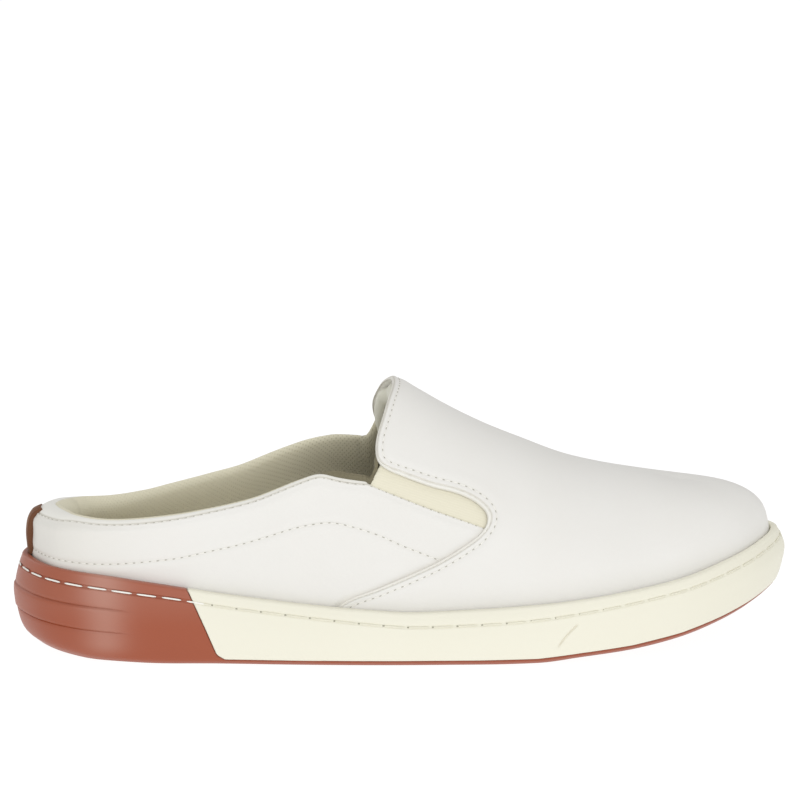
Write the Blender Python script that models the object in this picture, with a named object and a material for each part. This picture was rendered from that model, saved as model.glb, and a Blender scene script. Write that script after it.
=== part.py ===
"""Slip-on sneaker, right shoe: cup sole, hollow upper, overlays and footbed.

The shoe points along +X, its lateral side is -Y, and it stands on Z = 0. Tables are in millimetres,
with x counted from the back of the heel. The origin is the middle of the footprint.
"""
import math
from collections import namedtuple

import bmesh
import bpy
import numpy as np

MM = 0.001
LENGTH = 303.0          # outsole, heel to toe
GAP = 0.3               # between two pieces that meet

# ---------------------------------------------------------------- driving sizes
LINING_WALL = 2.6       # leather and lining together
COUNTER_WALL = 3.4      # the same with the heel counter in it
COUNTER_START = 30.0    # where the counter starts to thin out
COUNTER_END = 75.0      # where it has faded out
PAD_DEPTH = 17.0        # how far the collar padding reaches down
VAMP_SKIN = 1.6         # vamp leather with its folded edge
VAMP_PROUD = 1.9        # vamp's face above the shell's face
VAMP_PROUD_IN_CUP = 1.1     # the same where the cup holds it
GORE_SINK = 0.4         # elastic below the shell's face
GORE_SKIN = 1.8
TONGUE_PAD = 4.0
TONGUE_DEPTH = 3.9      # pad below the shell's face
TONGUE_SWELL = 2.2      # how far it rises where no leather holds it down
TAB_SKIN = 1.4
TAB_HALF_WIDTH = 8.5
TAB_GAP = 0.54          # the tab bridges the shell's facets
INSOLE_THICK = 4.2
INSOLE_LIP = 1.0        # how far its border stands above the rest
OUTSOLE_SHEET = 2.4     # terracotta sheet under the cream cup
CUP_WALL = 5.2          # from the outline to the cup's inner face
MEDIAL_SHIFT = (3.6, 6.0)   # the medial gore sits further forward and higher

# Footprint: half widths to each side of the long axis.
Plan = namedtuple("Plan", "x lateral medial")
HEEL_TIP = (0.0, 1.0)
TOE_TIP = (LENGTH, 9.0)
FOOTPRINT = (
    Plan(8, 22.0, 24.0),
    Plan(22, 33.5, 35.0),
    Plan(45, 39.5, 39.0),
    Plan(75, 42.5, 38.0),
    Plan(105, 47.0, 35.5),
    Plan(135, 50.5, 35.0),
    Plan(165, 52.7, 39.5),
    Plan(190, 54.6, 46.0),
    Plan(207, 55.0, 50.8),
    Plan(222, 53.6, 53.4),
    Plan(238, 50.4, 54.5),
    Plan(255, 45.0, 52.8),
    Plan(271, 36.5, 48.5),
    Plan(285, 25.5, 41.0),
    Plan(295, 13.0, 31.5),
    Plan(301, 1.5, 20.0),
)

# Side view of the sole: underside, cup floor and rim.
Side = namedtuple("Side", "x ground floor rim")
SOLE_SIDE = (
    Side(0, 3.0, 21.5, 38.7),
    Side(12, 1.5, 20.6, 37.8),
    Side(32, 0.0, 19.3, 36.2),
    Side(50, 0.0, 18.2, 33.7),
    Side(80, 0.0, 15.8, 29.0),
    Side(95, 0.0, 14.5, 27.2),
    Side(115, 0.0, 12.8, 25.0),
    Side(135, 0.0, 11.6, 23.3),
    Side(150, 0.0, 11.0, 22.4),
    Side(175, 0.0, 10.3, 23.4),
    Side(198, 0.6, 10.0, 25.0),
    Side(215, 2.4, 10.6, 26.6),
    Side(235, 4.2, 12.4, 29.0),
    Side(255, 7.3, 15.4, 32.1),
    Side(272, 11.1, 18.9, 36.0),
    Side(286, 14.8, 21.9, 39.3),
    Side(297, 17.8, 24.4, 41.8),
    Side(303, 19.4, 25.8, 43.2),
)

# Sidewall section from the underside to the rim: insets along the sides, round the heel and round the toe,
# rise as a share of the height from ground to rim, lift in millimetres on top of it.
Wall = namedtuple("Wall", "side heel toe rise lift heel_lift")
SIDEWALL = (
    Wall(9.0, 12.0, 10.0, 0.00, 0.0, 0.0),
    Wall(4.2, 7.6, 5.6, 0.00, 0.4, 1.2),
    Wall(1.9, 3.4, 2.9, 0.00, 2.2, 2.6),
    Wall(0.7, 1.3, 1.2, 0.28, 0.0, 0.0),
    Wall(0.0, 0.0, 0.0, 0.55, 0.0, 0.0),
    Wall(0.4, 1.5, 0.4, 0.80, 0.0, 0.0),
    Wall(1.3, 3.3, 1.3, 1.00, -1.8, 0.0),
    Wall(2.7, 4.3, 2.8, 1.00, 0.0, 0.0),
    Wall(4.5, 4.9, 4.5, 1.00, 0.0, 0.0),
    Wall(CUP_WALL, CUP_WALL, CUP_WALL, 1.00, -0.7, 0.0),
)
HEEL_ROUND_END = 62.0
TOE_ROUND_START = 255.0

# Upper: the centre line it rises to, which above the open collar is only a guide, and the two powers of its
# section: how round it is over the top, and how straight it stands at the side.
Ridge = namedtuple("Ridge", "x y z round straight")
RIDGE = (
    Ridge(36, 1.0, 118.0, 2.4, 3.0),
    Ridge(60, 0.5, 118.0, 2.4, 2.9),
    Ridge(90, 0.5, 116.0, 2.4, 2.8),
    Ridge(120, 2.0, 110.5, 2.3, 2.9),
    Ridge(136, 3.2, 106.0, 2.2, 3.0),
    Ridge(150, 4.0, 100.1, 2.1, 3.0),
    Ridge(158, 4.1, 95.4, 2.1, 3.0),
    Ridge(166, 4.3, 90.6, 2.1, 2.9),
    Ridge(182, 4.6, 82.2, 2.1, 2.8),
    Ridge(198, 4.9, 75.3, 2.1, 2.7),
    Ridge(214, 5.3, 68.9, 2.1, 2.6),
    Ridge(229, 5.8, 64.9, 2.1, 2.6),
    Ridge(245, 6.5, 61.6, 2.15, 2.8),
    Ridge(262, 8.0, 57.8, 2.2, 3.7),
)
RIDGE_HEEL_X = 36.0
RIDGE_TOE_X = 262.0
HEEL_FAN_X = 60.0       # behind this the sections fan out round the heel
TOE_FAN_X = 222.0       # in front of this they fan out round the toe

# Collar: where the padded roll starts on each side, and the roll's radius.
Collar = namedtuple("Collar", "x lateral medial roll")
COLLAR = (
    Collar(0, 50.4, 50.2, 6.8),
    Collar(12, 50.3, 49.0, 6.0),
    Collar(33, 50.6, 49.0, 4.8),
    Collar(52, 53.2, 51.7, 3.6),
    Collar(63, 54.8, 54.2, 3.3),
    Collar(78, 58.2, 58.5, 3.0),
    Collar(90, 61.3, 62.0, 2.9),
    Collar(101, 64.8, 66.8, 2.8),
    Collar(112, 68.7, 71.7, 2.6),
    Collar(118, 70.1, 74.2, 2.4),
    Collar(127, 69.0, 76.1, 2.1),
    Collar(135, 67.6, 75.5, 1.6),
    Collar(136.8, 71.0, 75.2, 1.3),
    Collar(138.2, 77.0, 75.1, 1.3),
    Collar(139.2, 83.0, 75.6, 1.3),
    Collar(141.0, 89.0, 78.6, 1.3),
    Collar(144.0, 95.4, 86.0, 1.3),
    Collar(147.0, 99.4, 94.0, 1.3),
    Collar(151.0, 100.0, 100.0, 1.3),
)
THROAT_X = 151.0        # the shell's edge crosses the instep here

# Vamp's rear edge in side view, from the cup up round the nose to the top.
Edge = namedtuple("Edge", "x z")
VAMP_EDGE = (
    Edge(117.0, 8.0),
    Edge(122.8, 22.8),
    Edge(138.7, 30.3),
    Edge(150.1, 35.2),
    Edge(161.4, 40.4),
    Edge(170.9, 45.8),
    Edge(176.7, 49.8),
    Edge(179.6, 53.6),
    Edge(179.7, 57.0),
    Edge(176.6, 60.6),
    Edge(169.5, 64.4),
    Edge(158.2, 68.3),
    Edge(147.0, 71.4),
    Edge(141.7, 73.7),
    Edge(138.6, 77.0),
    Edge(137.7, 80.5),
    Edge(138.2, 85.4),
    Edge(140.9, 92.2),
    Edge(144.2, 99.0),
    Edge(148.2, 106.0),
)
# Elastic gusset in side view: along the quarter's top edge, and back under the vamp.
GORE = (
    Edge(131.0, 70.6),
    Edge(145.0, 64.9),
    Edge(158.2, 59.6),
    Edge(169.3, 55.5),
    Edge(180.0, 51.5),
    Edge(186.0, 56.0),
    Edge(183.0, 64.5),
    Edge(172.0, 71.0),
    Edge(158.0, 76.0),
    Edge(147.0, 79.0),
    Edge(131.0, 82.0),
)
# Slanted joint between heel cup and cream sidewall, from the rim down.
BREAK_LINE = (
    Edge(61.4, 40.0),
    Edge(65.5, 29.5),
    Edge(72.1, 14.3),
    Edge(76.2, 4.4),
    Edge(79.3, OUTSOLE_SHEET),
)
# Tread: slots across heel and forefoot between the main lugs; the edge band stays whole.
Slot = namedtuple("Slot", "x lateral medial")
TREAD = (
    Slot(30, 24, 26),
    Slot(43, 28, 28),
    Slot(56, 29, 28),
    Slot(69, 30, 26),
    Slot(152, 38, 25),
    Slot(166, 40, 28),
    Slot(180, 42, 31),
    Slot(194, 43, 36),
)
SLOT_WIDTH = 3.0
SLOT_DEPTH = 1.6
# Footbed section from its underside up the border and in: inset from the lining, height above the cup floor.
Layer = namedtuple("Layer", "inset rise")
FOOTBED = (
    Layer(3.0, 0.0),
    Layer(0.6, 0.0),
    Layer(0.0, 1.2),
    Layer(0.0, INSOLE_THICK + 0.2),
    Layer(1.6, INSOLE_THICK + INSOLE_LIP),
    Layer(7.0, INSOLE_THICK - 0.2),
)

# Sections of the shell and the sole, as distances from the heel.
HEEL_FAN = (0.0, 1.2, 4.6, 10.0, 17.0, 26.0, 36.0)
SIDES = (49.0, 63.0, 77.0, 90.0, 101.0, 110.0, 118.0, 126.0)
THROAT = (134.6, 136.6, 139.0, 142.4, 146.2, 148.6, 150.0, THROAT_X)
INSTEP = (158.0, 168.0, 180.0, 193.0, 207.0, 221.0, 234.0, 246.0)
TOE_FAN = (256.0, 266.0, 275.0, 283.0, 290.0, 296.0, 300.6, LENGTH)
STATIONS = HEEL_FAN + SIDES + THROAT + INSTEP + TOE_FAN
ROWS = 11               # courses of the shell from the cup floor to its top edge
COURSES = np.linspace(0.0, 1.0, ROWS + 1) ** 0.75      # closer together where the instep curves over
THROAT_INDEX = STATIONS.index(THROAT_X)
HEEL_STATIONS = 5       # stations to each side of the heel's middle that the tab lies on
LAST = len(STATIONS) - 1


# ---------------------------------------------------------------- reading tables
def read(table, column, x):
    """Smooth reading of one named column of a table at x."""
    xs = np.array([row.x for row in table], float)
    ys = np.array([getattr(row, column) for row in table], float)
    return hermite(xs, ys, np.gradient(ys, xs), x)


def hermite(xs, ys, slopes, x):
    x = np.clip(x, xs[0], xs[-1])
    i = np.clip(np.searchsorted(xs, x, side="right") - 1, 0, len(xs) - 2)
    span = xs[i + 1] - xs[i]
    t = (x - xs[i]) / span
    return (ys[i] * (1 + 2 * t) * (1 - t) ** 2 + ys[i + 1] * t * t * (3 - 2 * t)
            + span * (slopes[i] * t * (1 - t) ** 2 - slopes[i + 1] * t * t * (1 - t)))


def straight(table, column, x):
    """Reading with straight lines between rows, for flats and corners."""
    return np.interp(x, [row.x for row in table], [getattr(row, column) for row in table])


def ramp(x, start, end):
    """0 before start, 1 after end, smooth between."""
    t = np.clip((np.asarray(x, float) - start) / (end - start), 0.0, 1.0)
    return t * t * (3 - 2 * t)


# ---------------------------------------------------------------- footprint
def footprint_curve(samples=24):
    """Closed smooth curve round the outsole: heel, lateral side, toe, medial side."""
    knots = [HEEL_TIP] + [(p.x, -p.lateral) for p in FOOTPRINT] + [TOE_TIP]
    knots += [(p.x, p.medial) for p in reversed(FOOTPRINT)]
    knots = np.array(knots, float)
    steps = np.sqrt(np.linalg.norm(np.roll(knots, -1, 0) - knots, axis=1))
    curve = []
    for i, knot in enumerate(knots):
        before, after, beyond = knots[i - 1], knots[(i + 1) % len(knots)], knots[(i + 2) % len(knots)]
        d0, d1, d2 = steps[i - 1], steps[i], steps[(i + 1) % len(knots)]
        tangent_a = (knot - before) / d0 - (after - before) / (d0 + d1) + (after - knot) / d1
        tangent_b = (after - knot) / d1 - (beyond - knot) / (d1 + d2) + (beyond - after) / d2
        t = np.arange(samples)[:, None] / samples
        curve.append(knot * (1 + 2 * t) * (1 - t) ** 2 + after * t * t * (3 - 2 * t)
                     + d1 * (tangent_a * t * (1 - t) ** 2 - tangent_b * t * t * (1 - t)))
    return np.concatenate(curve)


CURVE = footprint_curve()
TOE_SAMPLE = int(np.argmax(CURVE[:, 0]))
ORIGIN = np.array([LENGTH / 2, (CURVE[:, 1].max() + CURVE[:, 1].min()) / 2, 0.0])


def edge_points(side):
    """Footprint points and inward directions of all stations on one side (-1 lateral, +1 medial)."""
    half = CURVE[:TOE_SAMPLE + 1] if side < 0 else np.vstack([CURVE[TOE_SAMPLE:], CURVE[:1]])[::-1]
    run = np.maximum.accumulate(half[:, 0]) + np.arange(len(half)) * 1e-9
    place = np.interp(STATIONS, run, np.arange(len(half)))
    points = np.stack([np.interp(place, np.arange(len(half)), half[:, k]) for k in (0, 1)], 1)
    along = np.gradient(half, axis=0)
    along = np.stack([np.interp(place, np.arange(len(half)), along[:, k]) for k in (0, 1)], 1)
    along /= np.linalg.norm(along, axis=1, keepdims=True)
    inward = np.stack([along[:, 1], -along[:, 0]], 1) * side
    inward[0], inward[-1] = (1.0, 0.0), (-1.0, 0.0)
    points[0], points[-1] = HEEL_TIP, TOE_TIP
    return points, inward


def round_ring(lateral, medial):
    """Joins two sides into one ring: heel, lateral side, toe, medial side back to the heel."""
    return np.concatenate([lateral, medial[-2:0:-1]])


EDGE = round_ring(edge_points(-1)[0], edge_points(1)[0])
INWARD = round_ring(edge_points(-1)[1], edge_points(1)[1])
RING_X = round_ring(np.array(STATIONS), np.array(STATIONS))
RING = len(RING_X)
MEDIAL = np.arange(RING) > LAST


def inset_ring(inset):
    """Ring of points inside the footprint, still at height 0."""
    flat = EDGE + INWARD * np.broadcast_to(inset, RING)[:, None]
    return np.column_stack([flat, np.zeros(RING)])


# ---------------------------------------------------------------- upper's own function
def shell_inset(x):
    """Footprint to the shell's face: deeper under the vamp, and at the heel, where the tab lies over it."""
    heel = 2.6 * (1 - ramp(x, 2.0, 14.0))
    return CUP_WALL + 1.4 * GAP + VAMP_PROUD_IN_CUP * ramp(x, 100.0, 115.0) + heel


def ridge_x(x):
    """Where on the centre line the section of station x ends."""
    heel_span, toe_span = HEEL_FAN_X - RIDGE_HEEL_X, RIDGE_TOE_X - TOE_FAN_X
    heel_power, toe_power = HEEL_FAN_X / heel_span, (LENGTH - TOE_FAN_X) / toe_span
    heel = HEEL_FAN_X - heel_span * (1 - np.clip(x / HEEL_FAN_X, 0, 1) ** heel_power)
    toe_share = np.clip((x - TOE_FAN_X) / (LENGTH - TOE_FAN_X), 0, 1)
    toe = TOE_FAN_X + toe_span * (1 - (1 - toe_share) ** toe_power)
    return np.where(x < HEEL_FAN_X, heel, np.where(x > TOE_FAN_X, toe, x))


def section(k, samples=241):
    """Face of the full last above station k of the ring, from the cup floor up to the centre line."""
    x = RING_X[k]
    foot = EDGE[k] + INWARD[k] * shell_inset(x)
    low = straight(SOLE_SIDE, "floor", foot[0]) + GAP
    rx = float(ridge_x(x))
    top = np.array([rx, float(read(RIDGE, "y", rx))])
    high = float(read(RIDGE, "z", rx))
    round_power, straight_power = float(read(RIDGE, "round", rx)), float(read(RIDGE, "straight", rx))
    angle = np.linspace(0, math.pi / 2, samples)
    across = 1 - np.cos(angle) ** (2 / round_power)
    up = np.sin(angle) ** (2 / straight_power)
    across[-1], up[-1] = 1.0, 1.0
    flat = foot + across[:, None] * (top - foot)
    return np.column_stack([flat, low + up * (high - low)])


def collar_height(k):
    """Height at which the roll starts above station k."""
    return float(straight(COLLAR, "medial" if MEDIAL[k] else "lateral", RING_X[k]))


def course(points, fractions, values):
    """What values says at given fractions of a polyline's length."""
    length = np.concatenate([[0], np.cumsum(np.linalg.norm(np.diff(points, axis=0), axis=1))])
    return np.stack([np.interp(fractions * length[-1], length, values[:, i]) for i in range(3)], 1)


def fraction_at(points, z):
    """Fraction of a section's length at which it reaches height z."""
    length = np.concatenate([[0], np.cumsum(np.linalg.norm(np.diff(points, axis=0), axis=1))])
    return float(np.interp(z, points[:, 2], length)) / length[-1]


def mirrored(k):
    """Ring station on the other side at the same distance from the heel."""
    return (RING - k) % RING


def last_directions(sections):
    """Outward directions all over the last; along the centre line both sides share the mean."""
    around = np.roll(sections, -1, 0) - np.roll(sections, 1, 0)
    normal = np.cross(around, np.gradient(sections, axis=1))
    normal /= np.maximum(np.linalg.norm(normal, axis=2, keepdims=True), 1e-12)
    beside = normal[:, -8]
    mean = beside + beside[[mirrored(k) for k in range(RING)]]
    normal[:, -1] = mean / np.linalg.norm(mean, axis=1, keepdims=True)
    return normal


def shell_face():
    """Grids of the shell's outer face and its outward directions: ring stations by courses."""
    sections = np.array([section(k) for k in range(RING)])
    directions = last_directions(sections)
    grid, normal = [], []
    for k in range(RING):
        end = 1.0 if RING_X[k] >= THROAT_X else fraction_at(sections[k], collar_height(k))
        grid.append(course(sections[k], COURSES * end, sections[k]))
        normal.append(course(sections[k], COURSES * end, directions[k]))
    normal = np.array(normal)
    return np.array(grid), normal / np.linalg.norm(normal, axis=2, keepdims=True)


# ---------------------------------------------------------------- meshes
def world(points):
    return (np.asarray(points) - ORIGIN) * MM


def new_object(name, vertices, faces, collection):
    mesh = bpy.data.meshes.new(name)
    mesh.from_pydata([tuple(v) for v in world(vertices)], [], faces)
    obj = bpy.data.objects.new(name, mesh)
    collection.objects.link(obj)
    tidy_mesh(obj)
    return obj


def tidy_mesh(obj):
    """Merges doubled points, drops flat faces and turns all faces outwards."""
    bm = bmesh.new()
    bm.from_mesh(obj.data)
    bmesh.ops.remove_doubles(bm, verts=bm.verts, dist=1e-6)
    bmesh.ops.dissolve_degenerate(bm, dist=1e-6, edges=bm.edges)
    bmesh.ops.recalc_face_normals(bm, faces=bm.faces)
    bm.to_mesh(obj.data)
    bm.free()


def strip(a, b, closed):
    """Triangles between two lists of vertex numbers, always split the same way, so layers stay parallel."""
    count = len(a) if closed else len(a) - 1
    faces = []
    for i in range(count):
        j = (i + 1) % len(a)
        faces += [(a[i], a[j], b[j]), (a[i], b[j], b[i])]
    return faces


def ring_stack(name, rings, collection):
    """Closed body from rings of equal length, each end closed straight across the foot."""
    count = len(rings[0])
    faces = []
    for start in range(0, (len(rings) - 1) * count, count):
        middle = start + count
        faces += strip(range(start, middle), range(middle, middle + count), True)
    half = count // 2
    for first in (0, (len(rings) - 1) * count):
        faces += [(first, first + 1, first + count - 1), (first + half - 1, first + half, first + half + 1)]
        for k in range(1, half - 1):
            faces.append((first + k, first + k + 1, first + count - k - 1, first + count - k))
    return new_object(name, np.concatenate(rings), faces, collection)


def panel(name, outer, inner, collection, folded=(0, 0)):
    """Closed body between two grids of equal size; rows folded[0] to folded[1] meet at their last points."""
    m, n = outer.shape[:2]
    number = np.arange(2 * m * n).reshape(2, m, n)
    faces = []
    for layer in number:
        for i in range(m - 1):
            faces += strip(list(layer[i]), list(layer[i + 1]), False)
    front, back = number
    top = slice(0, folded[0] + 1), slice(folded[1], m)
    borders = [(front[0], back[0]), (front[-1], back[-1]), (front[:, 0], back[:, 0])]
    borders += [(front[rows, -1], back[rows, -1]) for rows in top]
    for a, b in borders:
        faces += strip(list(a), list(b), False)
    points = np.concatenate([outer.reshape(-1, 3), inner.reshape(-1, 3)])
    return new_object(name, points, faces, collection)


def prism(name, outlines, collection):
    """Cutter through side-view outlines of equal size, each at its own distance y from the long axis."""
    count = len(outlines[0][1])
    points, faces = [], []
    for y, outline in outlines:
        if points:
            start = len(points)
            faces += strip(range(start - count, start), range(start, start + count), True)
        points += [(p[0], y, p[1]) for p in outline]
    faces += [tuple(range(count)), tuple(range(len(points) - 1, len(points) - count - 1, -1))]
    obj = new_object(name, points, faces, collection)
    obj.hide_render = True
    obj.display_type = "WIRE"
    return obj


def boolean(obj, cutter, operation):
    modifier = obj.modifiers.new(cutter.name, "BOOLEAN")
    modifier.operation = operation
    modifier.solver = "EXACT"
    modifier.object = cutter


def spread(outline, distance):
    """Closed outline moved outwards by a distance."""
    points = np.array([tuple(p) for p in outline], float)
    before, after = points - np.roll(points, 1, 0), np.roll(points, -1, 0) - points
    before /= np.linalg.norm(before, axis=1, keepdims=True)
    after /= np.linalg.norm(after, axis=1, keepdims=True)
    area = np.sum(points[:, 0] * np.roll(points[:, 1], -1) - points[:, 1] * np.roll(points[:, 0], -1))
    normal = np.stack([before[:, 1] + after[:, 1], -before[:, 0] - after[:, 0]], 1) * np.sign(area)
    normal /= np.linalg.norm(normal, axis=1, keepdims=True)
    stretch = 1 / np.maximum(np.abs(np.sum(normal * np.stack([after[:, 1], -after[:, 0]], 1), axis=1)), 0.6)
    return points + normal * (distance * stretch)[:, None]


# ---------------------------------------------------------------- sole
def sole_rings():
    heel = 1 - ramp(RING_X, 0.0, HEEL_ROUND_END)
    toe = ramp(RING_X, TOE_ROUND_START, LENGTH)
    rings = []
    for row in SIDEWALL:
        ring = inset_ring(row.side + heel * (row.heel - row.side) + toe * (row.toe - row.side))
        ground, rim = (straight(SOLE_SIDE, column, ring[:, 0]) for column in ("ground", "rim"))
        ring[:, 2] = ground + row.rise * (rim - ground) + row.lift + heel * row.heel_lift
        rings.append(ring)
    wall = inset_ring(CUP_WALL)
    wall[:, 2] = straight(SOLE_SIDE, "floor", wall[:, 0])
    return rings + [wall]


def sheet_outline(extra):
    """Side-view outline of all that lies above the terracotta sheet and in front of the heel cup."""
    low = [(row.x, row.ground + OUTSOLE_SHEET) for row in SOLE_SIDE if row.x > 90]
    front, top = LENGTH + 20, 70.0
    around = [(front, low[-1][1] + 1.5), (front, top), (50.0, top)]
    return spread([(p.x, p.z) for p in BREAK_LINE] + low + around, extra)


def tread_cutters(collection):
    cutters = []
    for number, slot in enumerate(TREAD):
        front = slot.x + SLOT_WIDTH
        outline = [(slot.x, -1.0), (front, -1.0), (front, SLOT_DEPTH), (slot.x, SLOT_DEPTH)]
        reach = [(-slot.lateral, outline), (slot.medial, outline)]
        cutters.append(prism(f"cut_tread_{number + 1}", reach, collection))
    return cutters


def make_sole(parts, cutters):
    rings = sole_rings()
    outsole = ring_stack("outsole", rings, parts)
    midsole = ring_stack("midsole", rings, parts)
    room, fill = sheet_outline(GAP), sheet_outline(0.0)
    reach = (-LENGTH / 2, LENGTH / 2)
    boolean(outsole, prism("cut_midsole_room", [(y, room) for y in reach], cutters), "DIFFERENCE")
    boolean(midsole, prism("cut_midsole", [(y, fill) for y in reach], cutters), "INTERSECT")
    for cutter in tread_cutters(cutters):
        boolean(outsole, cutter, "DIFFERENCE")
    return outsole, midsole


# ---------------------------------------------------------------- upper
def wall_thickness(grid):
    """Wall at every point of the shell: counter at the heel, padding under the collar's roll."""
    x = RING_X[:, None] * np.ones(grid.shape[1])
    wall = LINING_WALL + (COUNTER_WALL - LINING_WALL) * (1 - ramp(x, COUNTER_START, COUNTER_END))
    roll = straight(COLLAR, "roll", RING_X)[:, None]
    below = grid[:, -1:, 2] - grid[:, :, 2]
    open_part = (RING_X < THROAT_X)[:, None]
    pad = np.where(open_part, 1 - ramp(below, 0.0, PAD_DEPTH), 0.0)
    return wall + pad * (2 * roll - wall)


def cup_proud(grid):
    """How far the vamp's face stands above the shell's own function."""
    share = ramp(grid[:, :, 2] - straight(SOLE_SIDE, "rim", grid[:, :, 0]), 0.0, 9.0)
    return VAMP_PROUD_IN_CUP + (VAMP_PROUD - VAMP_PROUD_IN_CUP) * share


def roll_directions(grid, normal):
    """Directions in which the shell's face runs on past its top edge."""
    edge = grid[:, -1]
    along = np.roll(edge, -1, 0) - np.roll(edge, 1, 0)
    last = THROAT_INDEX
    along[last] = edge[mirrored(last - 1)] - edge[last - 1]
    along[mirrored(last)] = along[last]
    onward = np.cross(normal[:, -1], along)
    return onward / np.maximum(np.linalg.norm(onward, axis=1, keepdims=True), 1e-9)


def shell_solid(name, grid, normal, sink, wall, collection):
    """Hollow body whose face lies sink below the shell's face, with a rounded top edge."""
    outer = grid - normal * sink[:, :, None]
    inner = outer - normal * wall[:, :, None]
    inner[:, 0, 2] = outer[:, 0, 2]
    onward = roll_directions(grid, normal)
    radius = wall[:, -1:] / 2
    rolls = []
    for turn in np.radians((36, 90, 144)):
        inward, up = radius * (1 - math.cos(turn)), radius * math.sin(turn)
        rolls.append(outer[:, -1] - normal[:, -1] * inward + onward * up)
    courses = [outer[:, i] for i in range(ROWS + 1)] + rolls + [inner[:, i] for i in range(ROWS, -1, -1)]
    number = np.arange(len(courses) * RING).reshape(len(courses), RING)
    open_stations = list(range(RING - THROAT_INDEX, RING)) + list(range(THROAT_INDEX + 1))
    faces = []
    for i in range(len(courses) - 1):
        if ROWS <= i < ROWS + len(rolls) + 1:
            faces += strip(list(number[i][open_stations]), list(number[i + 1][open_stations]), False)
        else:
            faces += strip(list(number[i]), list(number[i + 1]), True)
    faces += strip(list(number[-1]), list(number[0]), True)
    return new_object(name, np.concatenate(courses), faces, collection)


def vamp_outline(share):
    """The vamp's outline in side view, moved by a share of the medial shift round its nose."""
    outline = []
    for p in VAMP_EDGE:
        forward = share * float(ramp(p.z, 24.0, 44.0) - ramp(p.z, 84.0, 104.0))
        upward = forward * float(ramp(p.z, 30.0, 60.0))
        outline.append((p.x + MEDIAL_SHIFT[0] * forward, p.z + MEDIAL_SHIFT[1] * upward))
    return outline + [(LENGTH + 20, 125.0), (LENGTH + 20, 5.0)]


def gore_outline(extra, share):
    return spread([(p.x + MEDIAL_SHIFT[0] * share, p.z + MEDIAL_SHIFT[1] * share) for p in GORE], extra)


def make_upper(parts, cutters):
    grid, normal = shell_face()
    proud = cup_proud(grid)
    sink = (VAMP_PROUD - proud) * ramp(RING_X, 102.0, 115.0)[:, None]
    upper = shell_solid("upper", grid, normal, sink, wall_thickness(grid) - sink, parts)
    for share, name, reach in ((0, "lateral", (-70, -8)), (1, "medial", (14, 75))):
        room, fill = gore_outline(0.0, share), gore_outline(-GAP, share)
        room = prism(f"cut_gore_room_{name}", [(y, room) for y in reach], cutters)
        fill = prism(f"cut_gore_{name}", [(y, fill) for y in reach], cutters)
        boolean(upper, room, "DIFFERENCE")
        thin = np.full(grid.shape[:2], GORE_SKIN)
        gore = shell_solid(f"gore_{name}", grid, normal, np.full(grid.shape[:2], GORE_SINK), thin, parts)
        boolean(gore, fill, "INTERSECT")
    make_vamp(grid, normal, proud, parts, cutters)
    make_heel_tab(grid, normal, parts)
    make_tongue(parts)
    return upper


def make_vamp(grid, normal, proud, parts, cutters):
    """Overlay between two forms of the shell's function, cut to its outline."""
    first = STATIONS.index(110.0)
    stations = list(range(first, RING - first + 1))
    outer = (grid + normal * proud[:, :, None])[stations]
    inner = (grid + normal * (proud - VAMP_SKIN)[:, :, None])[stations]
    folded = (THROAT_INDEX - first, mirrored(THROAT_INDEX) - first)
    vamp = panel("vamp", outer, inner, parts, folded)
    outlines = [(y, vamp_outline(share)) for y, share in ((-80, 0), (-12, 0), (16, 1), (80, 1))]
    boolean(vamp, prism("cut_vamp", outlines, cutters), "INTERSECT")
    return vamp


def make_heel_tab(grid, normal, parts):
    """Strip up the heel seam, from the rim over the start of the collar's roll."""
    outer, inner = [], []
    for share in (-1.0, -0.5, 0.0, 0.5, 1.0):
        line, out = heel_line(grid, normal, HEEL_TIP[1] + share * TAB_HALF_WIDTH)
        inner.append(line + out * TAB_GAP)
        outer.append(line + out * (TAB_GAP + TAB_SKIN))
    return panel("heel_tab", np.array(outer), np.array(inner), parts)


def heel_line(grid, normal, y):
    """Points and outward directions up the heel at one distance from the seam, and over the roll."""
    around = [k % RING for k in range(HEEL_STATIONS, -HEEL_STATIONS - 1, -1)]

    def across(values, places):
        return np.array([np.interp(y, places, values[:, i]) for i in range(3)])

    def at_height(values, z):
        return np.array([[np.interp(z, grid[k, :, 2], values[k, :, i]) for i in range(3)] for k in around])

    onward = roll_directions(grid, normal)
    edge_y = grid[around, -1, 1]
    edge, out, up = (across(a[around], edge_y) for a in (grid[:, -1], normal[:, -1], onward))
    start = float(straight(SOLE_SIDE, "rim", 0.0)) + 0.4
    points, directions = [], []
    for z in np.linspace(start, edge[2], 5)[:-1]:
        line = at_height(grid, z)
        points.append(across(line, line[:, 1]))
        directions.append(across(at_height(normal, z), line[:, 1]))
    radius = float(straight(COLLAR, "roll", 0.0))
    for turn in np.radians((0, 17, 34, 50)):
        points.append(edge - out * radius * (1 - math.cos(turn)) + up * radius * math.sin(turn))
        directions.append(out * math.cos(turn) + up * math.sin(turn))
    directions = np.array(directions)
    return np.array(points), directions / np.linalg.norm(directions, axis=1, keepdims=True)


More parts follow.
